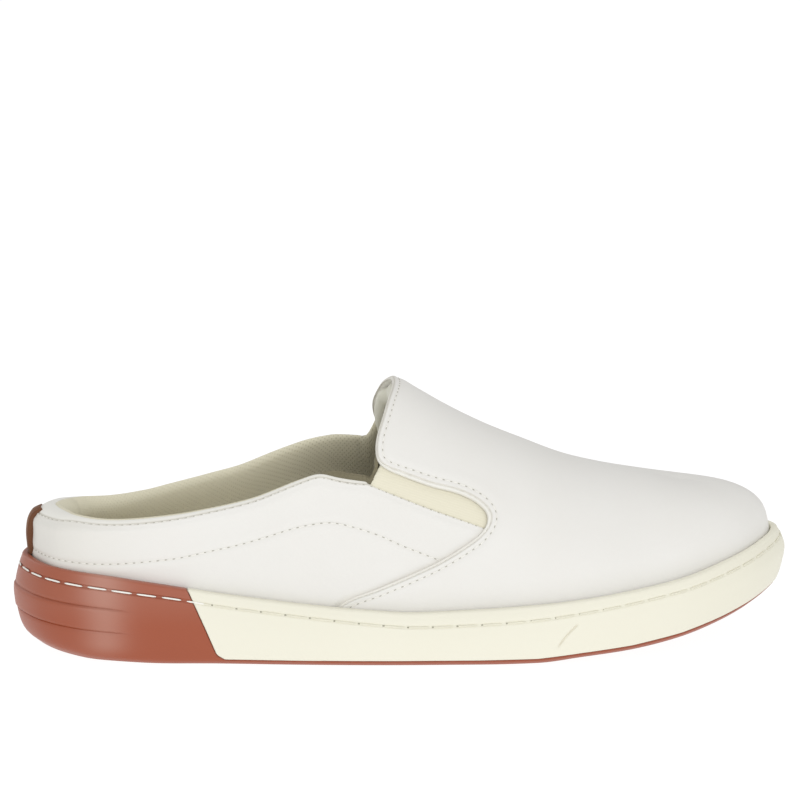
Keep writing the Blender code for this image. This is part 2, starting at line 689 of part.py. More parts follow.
def make_tongue(parts):
    """Padded arch under the vamp's top edge: thicker where it shows behind the edge."""
    xs = np.array((141.5, 142.3, 144.0, 146.2, 148.6, THROAT_X, 158.0, 168.0, 175.0))
    courses = COURSES[6:]
    crown = len(courses) - 1
    face = []
    for x in xs:
        lateral, medial = (guide_section(x, side) for side in (-1, 1))
        medial = course(medial, courses, medial)
        face.append(np.concatenate([course(lateral, courses, lateral), medial[-2::-1]]))
    face = np.array(face)
    normal = np.cross(np.gradient(face, axis=0), np.gradient(face, axis=1))
    normal /= np.linalg.norm(normal, axis=2, keepdims=True)
    normal *= np.sign(normal[len(xs) // 2, crown, 2])
    behind = ramp(throat_edge(face, crown) - face[:, :, 0], 2.0, 4.5)
    nose = np.sqrt(1 - (1 - ramp(xs, xs[0] - 0.4, 144.0)[:, None]) ** 2)
    top, bottom = TONGUE_DEPTH - TONGUE_SWELL * behind, TONGUE_DEPTH + TONGUE_PAD
    outer = face - normal * (bottom + top - (bottom - top) * nose)[:, :, None] / 2
    inner = face - normal * (bottom + top + (bottom - top) * nose)[:, :, None] / 2
    return panel("tongue", outer, inner, parts)


def throat_edge(face, crown):
    """Distance from the heel at which the shell's edge passes the height of each point of an arch."""
    rows = [row for row in COLLAR if row.x > 136]
    xs = [row.x for row in rows]
    lateral = np.interp(face[:, :, 2], [row.lateral for row in rows], xs)
    medial = np.interp(face[:, :, 2], [row.medial for row in rows], xs)
    return np.where(np.arange(face.shape[1]) <= crown, lateral, medial)


def guide_section(x, side):
    """Section of the full last at any distance from the heel, between two stations."""
    after = int(np.searchsorted(STATIONS, x))
    share = (x - STATIONS[after - 1]) / (STATIONS[after] - STATIONS[after - 1])
    pair = [k if side < 0 else mirrored(k) for k in (after - 1, after)]
    return section(pair[0]) * (1 - share) + section(pair[1]) * share


# ---------------------------------------------------------------- insole
def make_insole(parts):
    """Footbed on the cup floor, its border raised a little against the lining."""
    wall = LINING_WALL + (COUNTER_WALL - LINING_WALL) * (1 - ramp(RING_X, COUNTER_START, COUNTER_END))
    border = shell_inset(RING_X) + wall + 2 * GAP
    rings = []
    for layer in FOOTBED:
        ring = inset_ring(border + layer.inset)
        ring[:, 2] = straight(SOLE_SIDE, "floor", ring[:, 0]) + GAP + layer.rise
        rings.append(ring)
    return ring_stack("insole", rings, parts)


# ---------------------------------------------------------------- materials and scene
def material(name, colour, roughness):
    mat = bpy.data.materials.new(name)
    mat.use_nodes = True
    shader = mat.node_tree.nodes["Principled BSDF"]
    shader.inputs["Base Color"].default_value = (*colour, 1.0)
    shader.inputs["Roughness"].default_value = roughness
    shader.inputs["Metallic"].default_value = 0.0
    mat.diffuse_color = (*colour, 1.0)
    return mat


FINISH = {
    "outsole": ((0.36, 0.115, 0.066), 0.45),
    "midsole": ((0.80, 0.77, 0.65), 0.50),
    "upper": ((0.80, 0.79, 0.75), 0.45),
    "vamp": ((0.83, 0.82, 0.79), 0.42),
    "gore_lateral": ((0.76, 0.72, 0.56), 0.85),
    "gore_medial": ((0.74, 0.70, 0.55), 0.85),
    "tongue": ((0.52, 0.51, 0.44), 0.60),
    "heel_tab": ((0.22, 0.09, 0.045), 0.50),
    "insole": ((0.45, 0.43, 0.34), 0.90),
}


def clear_scene():
    for obj in list(bpy.data.objects):
        bpy.data.objects.remove(obj, do_unlink=True)


def main():
    clear_scene()
    parts = bpy.data.collections.new("slip_on_sneaker")
    cutters = bpy.data.collections.new("cutters")
    bpy.context.scene.collection.children.link(parts)
    bpy.context.scene.collection.children.link(cutters)
    make_sole(parts, cutters)
    make_upper(parts, cutters)
    make_insole(parts)
    for obj in parts.objects:
        colour, roughness = FINISH[obj.name]
        obj.data.materials.append(material(obj.name, colour, roughness))
        obj.data.shade_smooth()
        obj.data.set_sharp_from_angle(angle=math.radians(35))


main()
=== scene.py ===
"""Looks of a slip-on sneaker, right shoe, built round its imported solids.

Tables are in millimetres, x counted from the back of the heel, -Y the lateral side. Every panel is cut
from one surface, the face of the last, and lifted off it by its own leather and seams.
"""
import math
from collections import namedtuple
from types import SimpleNamespace

import bmesh
import bpy
import numpy as np
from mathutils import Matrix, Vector

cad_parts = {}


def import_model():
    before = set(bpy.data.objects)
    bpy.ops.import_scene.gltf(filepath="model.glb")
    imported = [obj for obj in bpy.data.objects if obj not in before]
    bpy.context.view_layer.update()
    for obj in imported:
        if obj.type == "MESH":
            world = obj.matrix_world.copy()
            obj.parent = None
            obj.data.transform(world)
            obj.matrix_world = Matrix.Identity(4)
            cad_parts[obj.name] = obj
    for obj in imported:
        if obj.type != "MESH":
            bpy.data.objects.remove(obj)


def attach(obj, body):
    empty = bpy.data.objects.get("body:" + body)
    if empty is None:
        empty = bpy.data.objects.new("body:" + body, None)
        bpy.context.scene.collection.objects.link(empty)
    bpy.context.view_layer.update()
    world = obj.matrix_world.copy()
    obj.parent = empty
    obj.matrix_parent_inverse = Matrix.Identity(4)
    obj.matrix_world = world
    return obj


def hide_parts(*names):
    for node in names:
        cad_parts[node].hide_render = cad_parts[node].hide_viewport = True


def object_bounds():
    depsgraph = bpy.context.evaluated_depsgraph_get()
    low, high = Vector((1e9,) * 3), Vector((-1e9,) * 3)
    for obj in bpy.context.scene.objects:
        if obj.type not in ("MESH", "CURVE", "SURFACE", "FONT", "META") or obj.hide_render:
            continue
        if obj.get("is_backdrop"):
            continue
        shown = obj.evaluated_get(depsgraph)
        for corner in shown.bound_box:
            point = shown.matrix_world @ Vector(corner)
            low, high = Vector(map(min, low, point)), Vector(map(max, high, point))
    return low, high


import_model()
CAD_LOW, CAD_HIGH = (np.array(corner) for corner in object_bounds())
MM = 0.001
LENGTH = round((CAD_HIGH[0] - CAD_LOW[0]) / MM, 1)

# ---------------------------------------------------------------- driving sizes
STEP = 1.3                      # spacing of the fine surfaces
LINING_WALL = 2.6               # leather and lining together
COUNTER_WALL = 3.4              # the same with the heel counter in it
COUNTER_START, COUNTER_END = 30.0, 75.0     # the counter thins out between these
PAD_DEPTH = 17.0                # how far the collar padding reaches down
CUP_WALL = 5.2                  # from the outline to the cup's inner face
HEEL_LIP, TOE_LIP = 0.8, 0.35   # how much thicker the cup's lip is there, to close on the leather
SHELL_CLEARANCE = 0.42          # from the cup's inner face to the leather
FLOOR_CLEARANCE = 0.3           # from the cup's floor to the leather and the insole
HEEL_TUCK = 1.0                 # how much further in the leather stands at the back of the heel
VAMP_PROUD = 1.9                # vamp's face above the shell's face
VAMP_PROUD_IN_CUP = 1.1         # the same where the cup holds it
LEATHER = 1.2                   # thickness of one panel
EDGE_SKIN = 0.9                 # thickness of strips, elastic and lining
OUTSOLE_SHEET = 2.4             # terracotta sheet under the cream cup
INSOLE_THICK = 4.2
MEDIAL_SHIFT = (3.6, 6.0)       # the medial gore sits further forward and higher
THROAT_X = 151.0                # the shell's edge crosses the instep here
HEEL_TIP, TOE_TIP = (0.0, 1.0), (LENGTH, 9.0)
HEEL_END = (2.0, 14.0)          # what holds only at the very back of the heel fades out between these
HEEL_ROUND_END, TOE_ROUND_START = 62.0, 255.0
RIDGE_HEEL_X, RIDGE_TOE_X = 36.0, 262.0     # ends of the last's centre line
HEEL_FAN_X, TOE_FAN_X = 60.0, 222.0         # past these the sections fan out round heel and toe

# Footprint: half widths to both sides.
Plan = namedtuple("Plan", "x lateral medial")
FOOTPRINT = (
    Plan(8, 22.0, 24.0),
    Plan(22, 33.5, 35.0),
    Plan(45, 39.5, 39.0),
    Plan(75, 42.5, 38.0),
    Plan(105, 47.0, 35.5),
    Plan(135, 50.5, 35.0),
    Plan(165, 52.7, 39.5),
    Plan(190, 54.6, 46.0),
    Plan(207, 55.0, 50.8),
    Plan(222, 53.6, 53.4),
    Plan(238, 50.4, 54.5),
    Plan(255, 45.0, 52.8),
    Plan(271, 36.5, 48.5),
    Plan(285, 25.5, 41.0),
    Plan(295, 13.0, 31.5),
    Plan(301, 1.5, 20.0),
)

# Side view of the sole: underside, cup floor and rim.
Side = namedtuple("Side", "x ground floor rim")
SOLE_SIDE = (
    Side(0, 3.0, 21.5, 38.7),
    Side(12, 1.5, 20.6, 37.8),
    Side(32, 0.0, 19.3, 36.2),
    Side(50, 0.0, 18.2, 33.7),
    Side(80, 0.0, 15.8, 29.0),
    Side(95, 0.0, 14.5, 27.2),
    Side(115, 0.0, 12.8, 25.0),
    Side(135, 0.0, 11.6, 23.3),
    Side(150, 0.0, 11.0, 22.4),
    Side(175, 0.1, 10.3, 23.4),
    Side(198, 0.6, 10.0, 25.0),
    Side(215, 2.4, 10.6, 26.6),
    Side(235, 4.2, 12.4, 29.0),
    Side(255, 7.3, 15.4, 32.1),
    Side(272, 11.1, 18.9, 36.0),
    Side(286, 14.8, 21.9, 39.3),
    Side(297, 17.8, 24.4, 41.8),
    Side(303, 19.4, 25.8, 43.2),
)

# Sidewall from the underside to the lip: insets along the sides, round the heel and round the toe,
# rise as a share of the height from ground to rim, lift in millimetres on top of it.
Wall = namedtuple("Wall", "side heel toe rise lift heel_lift")
SIDEWALL = (
    Wall(4.2, 7.6, 5.6, 0.00, 0.4, 1.2),
    Wall(1.9, 3.4, 2.9, 0.00, 2.2, 2.6),
    Wall(0.7, 1.3, 1.2, 0.28, 0.0, 0.0),
    Wall(0.0, 0.0, 0.0, 0.55, 0.0, 0.0),
    Wall(0.4, 1.5, 1.9, 0.80, 0.0, 0.0),
    Wall(1.3, 3.3, 3.8, 1.00, -1.8, 0.0),
)

# Upper: the centre line it rises to, which above the open collar is only a guide, and the two powers of its
# section: how round it is over the top, and how straight it stands at the side.
Ridge = namedtuple("Ridge", "x y z round straight")
RIDGE = (
    Ridge(36, 1.0, 118.0, 2.4, 3.0),
    Ridge(60, 0.5, 118.0, 2.4, 2.9),
    Ridge(90, 0.5, 116.0, 2.4, 2.8),
    Ridge(120, 2.0, 110.5, 2.3, 2.9),
    Ridge(136, 3.2, 106.0, 2.2, 3.0),
    Ridge(150, 4.0, 100.1, 2.1, 3.0),
    Ridge(158, 4.1, 95.4, 2.1, 3.0),
    Ridge(166, 4.3, 90.6, 2.1, 2.9),
    Ridge(182, 4.6, 82.2, 2.1, 2.8),
    Ridge(198, 4.9, 75.3, 2.1, 2.7),
    Ridge(214, 5.3, 68.9, 2.1, 2.6),
    Ridge(229, 5.8, 64.9, 2.1, 2.6),
    Ridge(245, 6.5, 61.6, 2.15, 2.8),
    Ridge(262, 8.0, 57.5, 2.4, 4.4),
)

# Collar: where the padded roll starts on each side, and the roll's radius.
Collar = namedtuple("Collar", "x lateral medial roll")
COLLAR = (
    Collar(0, 48.3, 48.2, 8.0),
    Collar(12, 49.3, 47.8, 6.8),
    Collar(33, 50.4, 48.4, 4.9),
    Collar(52, 53.1, 51.3, 3.6),
    Collar(63, 54.8, 54.2, 3.3),
    Collar(78, 58.2, 58.5, 3.0),
    Collar(90, 61.5, 62.0, 2.9),
    Collar(101, 65.9, 66.8, 2.8),
    Collar(109.3, 69.2, 70.4, 2.65),
    Collar(115.7, 71.2, 73.0, 2.5),
    Collar(121.9, 70.2, 74.7, 2.25),
    Collar(127, 69.5, 75.5, 2.1),
    Collar(135, 69.0, 75.3, 1.6),
    Collar(136.8, 72.0, 75.2, 1.3),
    Collar(138.2, 77.0, 75.1, 1.3),
    Collar(139.2, 83.0, 75.6, 1.3),
    Collar(141.0, 89.0, 78.6, 1.3),
    Collar(144.0, 95.4, 86.0, 1.3),
    Collar(147.0, 99.4, 94.0, 1.3),
    Collar(151.0, 100.0, 100.0, 1.3),
)
# Collar binding: how far its seam lies below the crest.
Seam = namedtuple("Seam", "x drop")
BINDING = (
    Seam(0, 3.0),
    Seam(12, 2.2),
    Seam(20, 1.5),
    Seam(33, 1.5),
    Seam(52, 1.6),
    Seam(77, 1.3),
    Seam(110, 1.3),
    Seam(128, 1.6),
    Seam(136, 1.0),
    Seam(151, 0.5),
)
# Stitched groove round the sole: how far it lies below the rim.
GROOVE = (
    Seam(0, 5.6),
    Seam(18, 6.1),
    Seam(35, 6.2),
    Seam(62, 5.6),
    Seam(100, 5.6),
    Seam(140, 6.2),
    Seam(181, 6.6),
    Seam(198, 6.4),
    Seam(216, 5.8),
    Seam(250, 5.2),
    Seam(280, 5.0),
    Seam(303, 4.2),
)

Edge = namedtuple("Edge", "x z")
# Vamp's rear edge in side view, from the cup up round the nose to the top.
VAMP_EDGE = (
    Edge(117.0, 8.0),
    Edge(122.8, 22.8),
    Edge(138.7, 30.3),
    Edge(150.1, 35.2),
    Edge(161.4, 40.4),
    Edge(170.9, 45.8),
    Edge(176.7, 49.8),
    Edge(179.6, 53.6),
    Edge(179.7, 57.0),
    Edge(176.6, 60.6),
    Edge(169.5, 64.4),
    Edge(158.2, 67.8),
    Edge(147.0, 72.1),
    Edge(141.8, 74.4),
    Edge(138.6, 77.0),
    Edge(137.7, 80.5),
    Edge(138.2, 85.4),
    Edge(140.9, 92.2),
    Edge(144.6, 99.0),
    Edge(151.5, 105.5),
)
# Quarter's top edge along the elastic, and the elastic's own rear edge.
GORE_LINE = (
    Edge(131.0, 70.6),
    Edge(145.0, 64.9),
    Edge(158.2, 59.6),
    Edge(169.3, 55.5),
    Edge(180.0, 51.5),
    Edge(192.0, 46.5),
)
GORE_REAR = (
    Edge(134.2, 65.0),
    Edge(135.2, 68.5),
    Edge(136.4, 71.0),
    Edge(139.2, 76.0),
    Edge(142.6, 82.0),
)
# Row of stitches across the quarter, heel to vamp.
QUARTER_ROW = (
    Edge(-30.0, 38.9),
    Edge(10.0, 39.0),
    Edge(28.9, 38.4),
    Edge(40.3, 38.8),
    Edge(51.6, 39.9),
    Edge(63.0, 41.3),
    Edge(70.6, 43.0),
    Edge(85.9, 46.6),
    Edge(97.2, 50.1),
    Edge(104.8, 52.6),
    Edge(112.4, 54.2),
    Edge(120.0, 55.0),
    Edge(127.6, 53.6),
    Edge(138.9, 49.9),
    Edge(146.4, 46.4),
    Edge(153.9, 43.4),
    Edge(163.5, 39.5),
)
# Slanted joint between heel cup and cream sidewall, from the rim down.
BREAK_LINE = (
    Edge(61.4, 40.0),
    Edge(65.5, 29.5),
    Edge(72.1, 14.3),
    Edge(76.2, 4.4),
    Edge(79.3, OUTSOLE_SHEET),
)
# Short slanting notch in the cream sidewall.
MOULD_MARK = (
    Edge(205.5, 7.5),
    Edge(208.6, 12.1),
    Edge(213.4, 17.0),
)
# Slots across the tread: where each starts, and how far it reaches to both sides.
Slot = namedtuple("Slot", "x lateral medial")
TREAD = (
    Slot(30, 24, 26),
    Slot(43, 28, 28),
    Slot(56, 29, 28),
    Slot(69, 30, 26),
    Slot(152, 38, 25),
    Slot(166, 40, 28),
    Slot(180, 42, 31),
    Slot(194, 43, 36),
)
SLOT_WIDTH, SLOT_DEPTH = 3.0, 1.6

VAMP_ROW = 1.95                 # the row of stitches lies this far inside the vamp's folded edge
COLLAR_ROW = 0.35               # and this far below the top of the quarters
# Soft ridges (height above 0) and troughs (below 0) beside a line in the leather.
Swell = namedtuple("Swell", "height place width")
ROW_SWELLS = (Swell(0.22, 2.2, 2.0), Swell(0.16, -2.2, 2.0), Swell(-0.24, 0.0, 0.7))
QUARTER_TOP_SWELLS = (Swell(0.25, 3.6, 2.2), Swell(-0.18, 1.5, 0.6))
VAMP_SWELLS = (Swell(0.2, 4.8, 2.2), Swell(-0.22, VAMP_ROW, 0.7))
TONGUE_SWELLS = (Swell(0.3, 1.4, 1.1), Swell(-0.15, -0.6, 1.0))


# ---------------------------------------------------------------- reading tables
def hermite(xs, ys, slopes, x):
    """Cubic curve through rows with given slopes; past its ends it keeps their values."""
    x = np.clip(x, xs[0], xs[-1])
    i = np.clip(np.searchsorted(xs, x, side="right") - 1, 0, len(xs) - 2)
    span = xs[i + 1] - xs[i]
    t = (x - xs[i]) / span
    return (ys[i] * (1 + 2 * t) * (1 - t) ** 2 + ys[i + 1] * t * t * (3 - 2 * t)
            + span * (slopes[i] * t * (1 - t) ** 2 - slopes[i + 1] * t * t * (1 - t)))


def even_slopes(xs, ys):
    """Slopes that never let the curve overshoot its rows, so flats stay flat."""
    secant = np.diff(ys) / np.diff(xs)
    slopes = np.zeros(len(xs))
    both = secant[:-1] * secant[1:] > 0
    slopes[1:-1][both] = 2 * secant[:-1][both] * secant[1:][both] / (secant[:-1][both] + secant[1:][both])
    slopes[0], slopes[-1] = secant[0], secant[-1]
    return slopes


def read(table, column, x, even=False):
    """Smooth reading of one named column of a table at x."""
    xs = np.array([row.x for row in table], float)
    ys = np.array([getattr(row, column) for row in table], float)
    return hermite(xs, ys, even_slopes(xs, ys) if even else np.gradient(ys, xs), x)


def ramp(x, start, end):
    """0 before start, 1 after end, smooth between."""
    t = np.clip((np.asarray(x, float) - start) / (end - start), 0.0, 1.0)
    return t * t * (3 - 2 * t)


def bump(x, centre, width):
    """1 at the centre, falling off softly over the width."""
    return np.exp(-((np.asarray(x, float) - centre) / width) ** 2)


def relief(distance, swells):
    """Height of all the ridges and troughs beside a line at a distance from it."""
    return sum(swell.height * bump(distance, swell.place, swell.width) for swell in swells)


def run_of(points):
    """Distance run along a polyline at each of its points."""
    return np.concatenate([[0], np.cumsum(np.linalg.norm(np.diff(points, axis=0), axis=1))])


def points_at(at, run, line):
    """Places on a polyline, or directions given along it, at distances run along it."""
    return np.stack([np.interp(at, run, line[:, i]) for i in range(line.shape[1])], 1)


def unit(vectors):
    """Directions of vectors."""
    return vectors / np.maximum(np.linalg.norm(vectors, axis=-1, keepdims=True), 1e-9)


def smoothed(values, weights):
    """Weighted mean along a row of values, whose ends are held."""
    weights = weights / weights.sum()
    return np.convolve(np.pad(values, len(weights) // 2, mode="edge"), weights, mode="valid")


def smooth_line(rows, samples=12):
    """Dense smooth curve through rows of a side view."""
    knots = np.array([tuple(row) for row in rows], float)
    run = np.concatenate([[0], np.cumsum(np.sqrt(np.linalg.norm(np.diff(knots, axis=0), axis=1)))])
    at = np.linspace(0, run[-1], samples * len(knots))
    return np.stack([hermite(run, knots[:, i], np.gradient(knots[:, i], run), at) for i in (0, 1)], 1)


# ---------------------------------------------------------------- footprint
def footprint_curve(samples=24):
    """Closed smooth curve round the outsole: heel, lateral side, toe, medial side."""
    knots = [HEEL_TIP] + [(p.x, -p.lateral) for p in FOOTPRINT] + [TOE_TIP]
    knots += [(p.x, p.medial) for p in reversed(FOOTPRINT)]
    knots = np.array(knots, float)
    steps = np.sqrt(np.linalg.norm(np.roll(knots, -1, 0) - knots, axis=1))
    curve = []
    for i, knot in enumerate(knots):
        before, after, beyond = knots[i - 1], knots[(i + 1) % len(knots)], knots[(i + 2) % len(knots)]
        d0, d1, d2 = steps[i - 1], steps[i], steps[(i + 1) % len(knots)]
        tangent_a = (knot - before) / d0 - (after - before) / (d0 + d1) + (after - knot) / d1
        tangent_b = (after - knot) / d1 - (beyond - knot) / (d1 + d2) + (beyond - after) / d2
        t = np.arange(samples)[:, None] / samples
        curve.append(knot * (1 + 2 * t) * (1 - t) ** 2 + after * t * t * (3 - 2 * t)
                     + d1 * (tangent_a * t * (1 - t) ** 2 - tangent_b * t * t * (1 - t)))
    return np.concatenate(curve)


CURVE = footprint_curve()
TOE_SAMPLE = int(np.argmax(CURVE[:, 0]))
ORIGIN = np.array([-CAD_LOW[0] / MM, (CURVE[:, 1].max() + CURVE[:, 1].min()) / 2, -CAD_LOW[2] / MM])


def half_curve(side):
    """Heel to toe along one side (-1 lateral, +1 medial)."""
    half = CURVE[:TOE_SAMPLE + 1] if side < 0 else np.vstack([CURVE[TOE_SAMPLE:], CURVE[:1]])[::-1]
    half = half.copy()
    half[:, 0] = np.maximum.accumulate(half[:, 0]) + np.arange(len(half)) * 1e-9
    return half


def spaced_stations(step):
    """Distances from the heel at which both sides of the footprint are divided about evenly."""
    halves = [half_curve(side) for side in (-1, 1)]
    xs = np.unique(np.concatenate([half[:, 0] for half in halves]))
    run = sum(np.interp(xs, half[:, 0], run_of(half)) for half in halves) / 2
    stations = np.interp(np.linspace(0, run[-1], int(run[-1] / step)), run, xs)
    stations[0], stations[-1] = 0.0, LENGTH
    return stations


STATIONS = spaced_stations(STEP)
LAST = len(STATIONS) - 1


def edge_points(side):
    """Footprint points and inward directions of all stations on one side."""
    half = half_curve(side)
    number = np.arange(len(half))
    place = np.interp(STATIONS, half[:, 0], number)
    points = points_at(place, number, half)
    along = unit(points_at(place, number, np.gradient(half, axis=0)))
    inward = np.stack([along[:, 1], -along[:, 0]], 1) * side
    inward[0], inward[-1] = (1.0, 0.0), (-1.0, 0.0)
    points[0], points[-1] = HEEL_TIP, TOE_TIP
    return points, inward


def round_ring(lateral, medial):
    """Joins two sides into one ring: heel, lateral side, toe, medial side back to the heel."""
    return np.concatenate([lateral, medial[-2:0:-1]])


EDGE = round_ring(edge_points(-1)[0], edge_points(1)[0])
INWARD = round_ring(edge_points(-1)[1], edge_points(1)[1])
RING_X = round_ring(STATIONS, STATIONS)
RING = len(RING_X)
WHOLE_RING = list(range(RING)) + [0]
MEDIAL = np.arange(RING) > LAST
ACROSS = np.linalg.norm(np.roll(EDGE, -1, 0) - EDGE, axis=1)
# Distance run round the ring from the middle of the heel, negative on the lateral side.
AROUND = np.concatenate([[0], np.cumsum(ACROSS)[:-1]])
AROUND = np.where(MEDIAL, ACROSS.sum() - AROUND, -AROUND)


def mirrored(k):
    """Number of the station across the shoe."""
    return (RING - k) % RING


def side_of(lateral, medial):
    """Per-station choice between a lateral and a medial value."""
    return np.where(MEDIAL, medial, lateral)


def inset_points(inset):
    """Ring of points inside the footprint's edge."""
    return EDGE + INWARD * np.broadcast_to(inset, RING)[:, None]


# ---------------------------------------------------------------- the last
def shell_inset(x):
    """How far inside the footprint's edge the shell's face meets the cup."""
    under_vamp, at_heel = ramp(x, 100.0, 115.0), 1 - ramp(x, *HEEL_END)
    return CUP_WALL + SHELL_CLEARANCE + VAMP_PROUD_IN_CUP * under_vamp + HEEL_TUCK * at_heel


def shell_wall():
    """Leather and lining together at every station, with the heel counter."""
    return LINING_WALL + (COUNTER_WALL - LINING_WALL) * (1 - ramp(RING_X, COUNTER_START, COUNTER_END))


def ridge_x(x):
    """Where on the centre line the section of station x ends."""
    heel_span, toe_span = HEEL_FAN_X - RIDGE_HEEL_X, RIDGE_TOE_X - TOE_FAN_X
    heel_power, toe_power = HEEL_FAN_X / heel_span, (LENGTH - TOE_FAN_X) / toe_span
    heel = HEEL_FAN_X - heel_span * (1 - np.clip(x / HEEL_FAN_X, 0, 1) ** heel_power)
    toe_share = np.clip((x - TOE_FAN_X) / (LENGTH - TOE_FAN_X), 0, 1)
    toe = TOE_FAN_X + toe_span * (1 - (1 - toe_share) ** toe_power)
    return np.where(x < HEEL_FAN_X, heel, np.where(x > TOE_FAN_X, toe, x))


def last_sections(samples=241):
    """Faces of the full last above every station, from the cup floor up to the centre line."""
    foot = inset_points(shell_inset(RING_X))
    low = read(SOLE_SIDE, "floor", foot[:, 0], even=True) + FLOOR_CLEARANCE
    rx = ridge_x(RING_X)
    top = np.column_stack([rx, read(RIDGE, "y", rx)])
    high = read(RIDGE, "z", rx)
    angle = np.linspace(0, math.pi / 2, samples)
    across = 1 - np.cos(angle)[None, :] ** (2 / read(RIDGE, "round", rx)[:, None])
    up = np.sin(angle)[None, :] ** (2 / read(RIDGE, "straight", rx)[:, None])
    across[:, -1], up[:, -1] = 1.0, 1.0
    flat = foot[:, None] + across[:, :, None] * (top - foot)[:, None]
    return np.dstack([flat, low[:, None] + up * (high - low)[:, None]])


def grid_normals(points):
    """Outward directions of a grid whose rows run round the shoe."""
    around = np.roll(points, -1, 0) - np.roll(points, 1, 0)
    return unit(np.cross(around, np.gradient(points, axis=1)))


def last_directions(sections):
    """Outward directions all over the last; along the centre line both sides share the mean."""
    normal = grid_normals(sections)
    beside = normal[:, -8]
    normal[:, -1] = unit(beside + beside[[mirrored(k) for k in range(RING)]])
    return normal


SECTIONS = last_sections()
DIRECTIONS = last_directions(SECTIONS)
RUNS = np.array([run_of(section) for section in SECTIONS])
FOOT_X = SECTIONS[:, 0, 0]
RIM = read(SOLE_SIDE, "rim", FOOT_X, even=True)


def run_at_height(z):
    """Distance up each section at which it reaches a height."""
    z = np.broadcast_to(z, RING)
    return np.array([np.interp(z[k], SECTIONS[k, :, 2], RUNS[k]) for k in range(RING)])


def grid_between(stations, low, high, rows, runs, lines, directions):
    """Points, directions and distances run, between two distances along each station's line."""
    points, normals, run = [], [], []
    for k in stations:
        run.append(np.linspace(low[k], high[k], rows))
        points.append(points_at(run[-1], runs[k], lines[k]))
        normals.append(points_at(run[-1], runs[k], directions[k]))
    return np.array(points), unit(np.array(normals)), np.array(run)


def last_grid(stations, low, high, rows):
    """Points and directions on the last between two distances up its sections."""
    return grid_between(stations, low, high, rows, RUNS, SECTIONS, DIRECTIONS)[:2]


def ring_span(low_x, high_x, through_toe):
    """Station numbers in ring order between two distances from the heel, through the toe or the heel."""
    lateral = [k for k in range(LAST + 1) if low_x <= RING_X[k] <= high_x]
    medial = [k for k in range(LAST + 1, RING) if low_x <= RING_X[k] <= high_x]
    return lateral + medial if through_toe else medial + lateral


# ---------------------------------------------------------------- collar path: face, roll, lining
COLLAR_Z = side_of(read(COLLAR, "lateral", RING_X, even=True), read(COLLAR, "medial", RING_X, even=True))
ROLL = read(COLLAR, "roll", RING_X, even=True)
OPEN = RING_X < THROAT_X
FACE_SAMPLES, ROLL_SAMPLES = 90, 25


def collar_paths():
    """At every station a path up the shell's face, over the collar's roll and down the lining."""
    edge_run = np.where(OPEN, run_at_height(COLLAR_Z), RUNS[:, -1])
    face, face_n = last_grid(range(RING), np.zeros(RING), edge_run, FACE_SAMPLES)
    edge, out = face[:, -1], face_n[:, -1]
    along = np.roll(edge, -1, 0) - np.roll(edge, 1, 0)
    last = int(np.flatnonzero(OPEN[:LAST])[-1])
    for k, towards in ((last, 1), (mirrored(last), -1)):
        along[k] = (edge[k] - edge[k - towards]) * towards
    up = unit(np.cross(out, along))
    turn = np.linspace(0, math.pi, ROLL_SAMPLES)[None, :, None]
    radius = np.where(OPEN, ROLL, 0.0)[:, None, None]
    roll = edge[:, None] - out[:, None] * radius * (1 - np.cos(turn)) + up[:, None] * radius * np.sin(turn)
    roll_n = out[:, None] * np.cos(turn) + up[:, None] * np.sin(turn)
    below = edge[:, None, 2] - face[:, :, 2]
    pad = np.where(OPEN[:, None], 1 - ramp(below, 0.0, PAD_DEPTH), 0.0)
    wall = shell_wall()[:, None]
    wall = wall + pad * (2 * ROLL[:, None] - wall)
    inner = (face - face_n * wall[:, :, None])[:, ::-1]
    inner_n = -face_n[:, ::-1]
    shut = ~OPEN
    roll[shut], roll_n[shut] = inner[shut][:, :1], inner_n[shut][:, :1]
    points = np.concatenate([face, roll[:, 1:], inner[:, 1:]], axis=1)
    normals = np.concatenate([face_n, roll_n[:, 1:], inner_n[:, 1:]], axis=1)
    return points, unit(normals)


PATHS, PATH_NORMALS = collar_paths()
PATH_RUNS = np.array([run_of(path) for path in PATHS])
# Distances run along each path: where the roll starts, where it ends inside, and the path's end.
RUN_EDGE = PATH_RUNS[:, FACE_SAMPLES - 1]
RUN_INNER = PATH_RUNS[:, FACE_SAMPLES + ROLL_SAMPLES - 2]
RUN_END = PATH_RUNS[:, -1]


def path_grid(stations, low, high, rows):
    """Points, directions and runs on the collar paths between two distances along them."""
    return grid_between(stations, low, high, rows, PATH_RUNS, PATHS, PATH_NORMALS)


# ---------------------------------------------------------------- skins: surfaces that are cut and lifted
def grid_skin(points, normals, **values):
    """Skin from a grid of points in ring order by height, with named values at its points."""
    m, n = points.shape[:2]
    number = np.arange(m * n).reshape(m, n)
    quads = np.stack([number[:-1, :-1], number[1:, :-1], number[1:, 1:], number[:-1, 1:]], -1).reshape(-1, 4)
    values = {name: np.broadcast_to(value, (m, n)).reshape(-1).astype(float)
              for name, value in values.items()}
    skin = SimpleNamespace(points=points.reshape(-1, 3), normals=normals.reshape(-1, 3),
                           faces=[tuple(q) for q in quads.tolist()], values=values)
    return weld(skin)


def weld(skin, tolerance=2e-3):
    """Merges points that coincide and drops what collapses."""
    keys = np.round(skin.points / tolerance).astype(np.int64)
    _, first, number = np.unique(keys, axis=0, return_index=True, return_inverse=True)
    number = number.reshape(-1)
    faces = []
    for face in skin.faces:
        ring = [number[v] for v in face]
        ring = [v for i, v in enumerate(ring) if v != ring[i - 1]]
        if len(set(ring)) == len(ring) > 2:
            faces.append(tuple(ring))
    return pick(skin, first, faces)


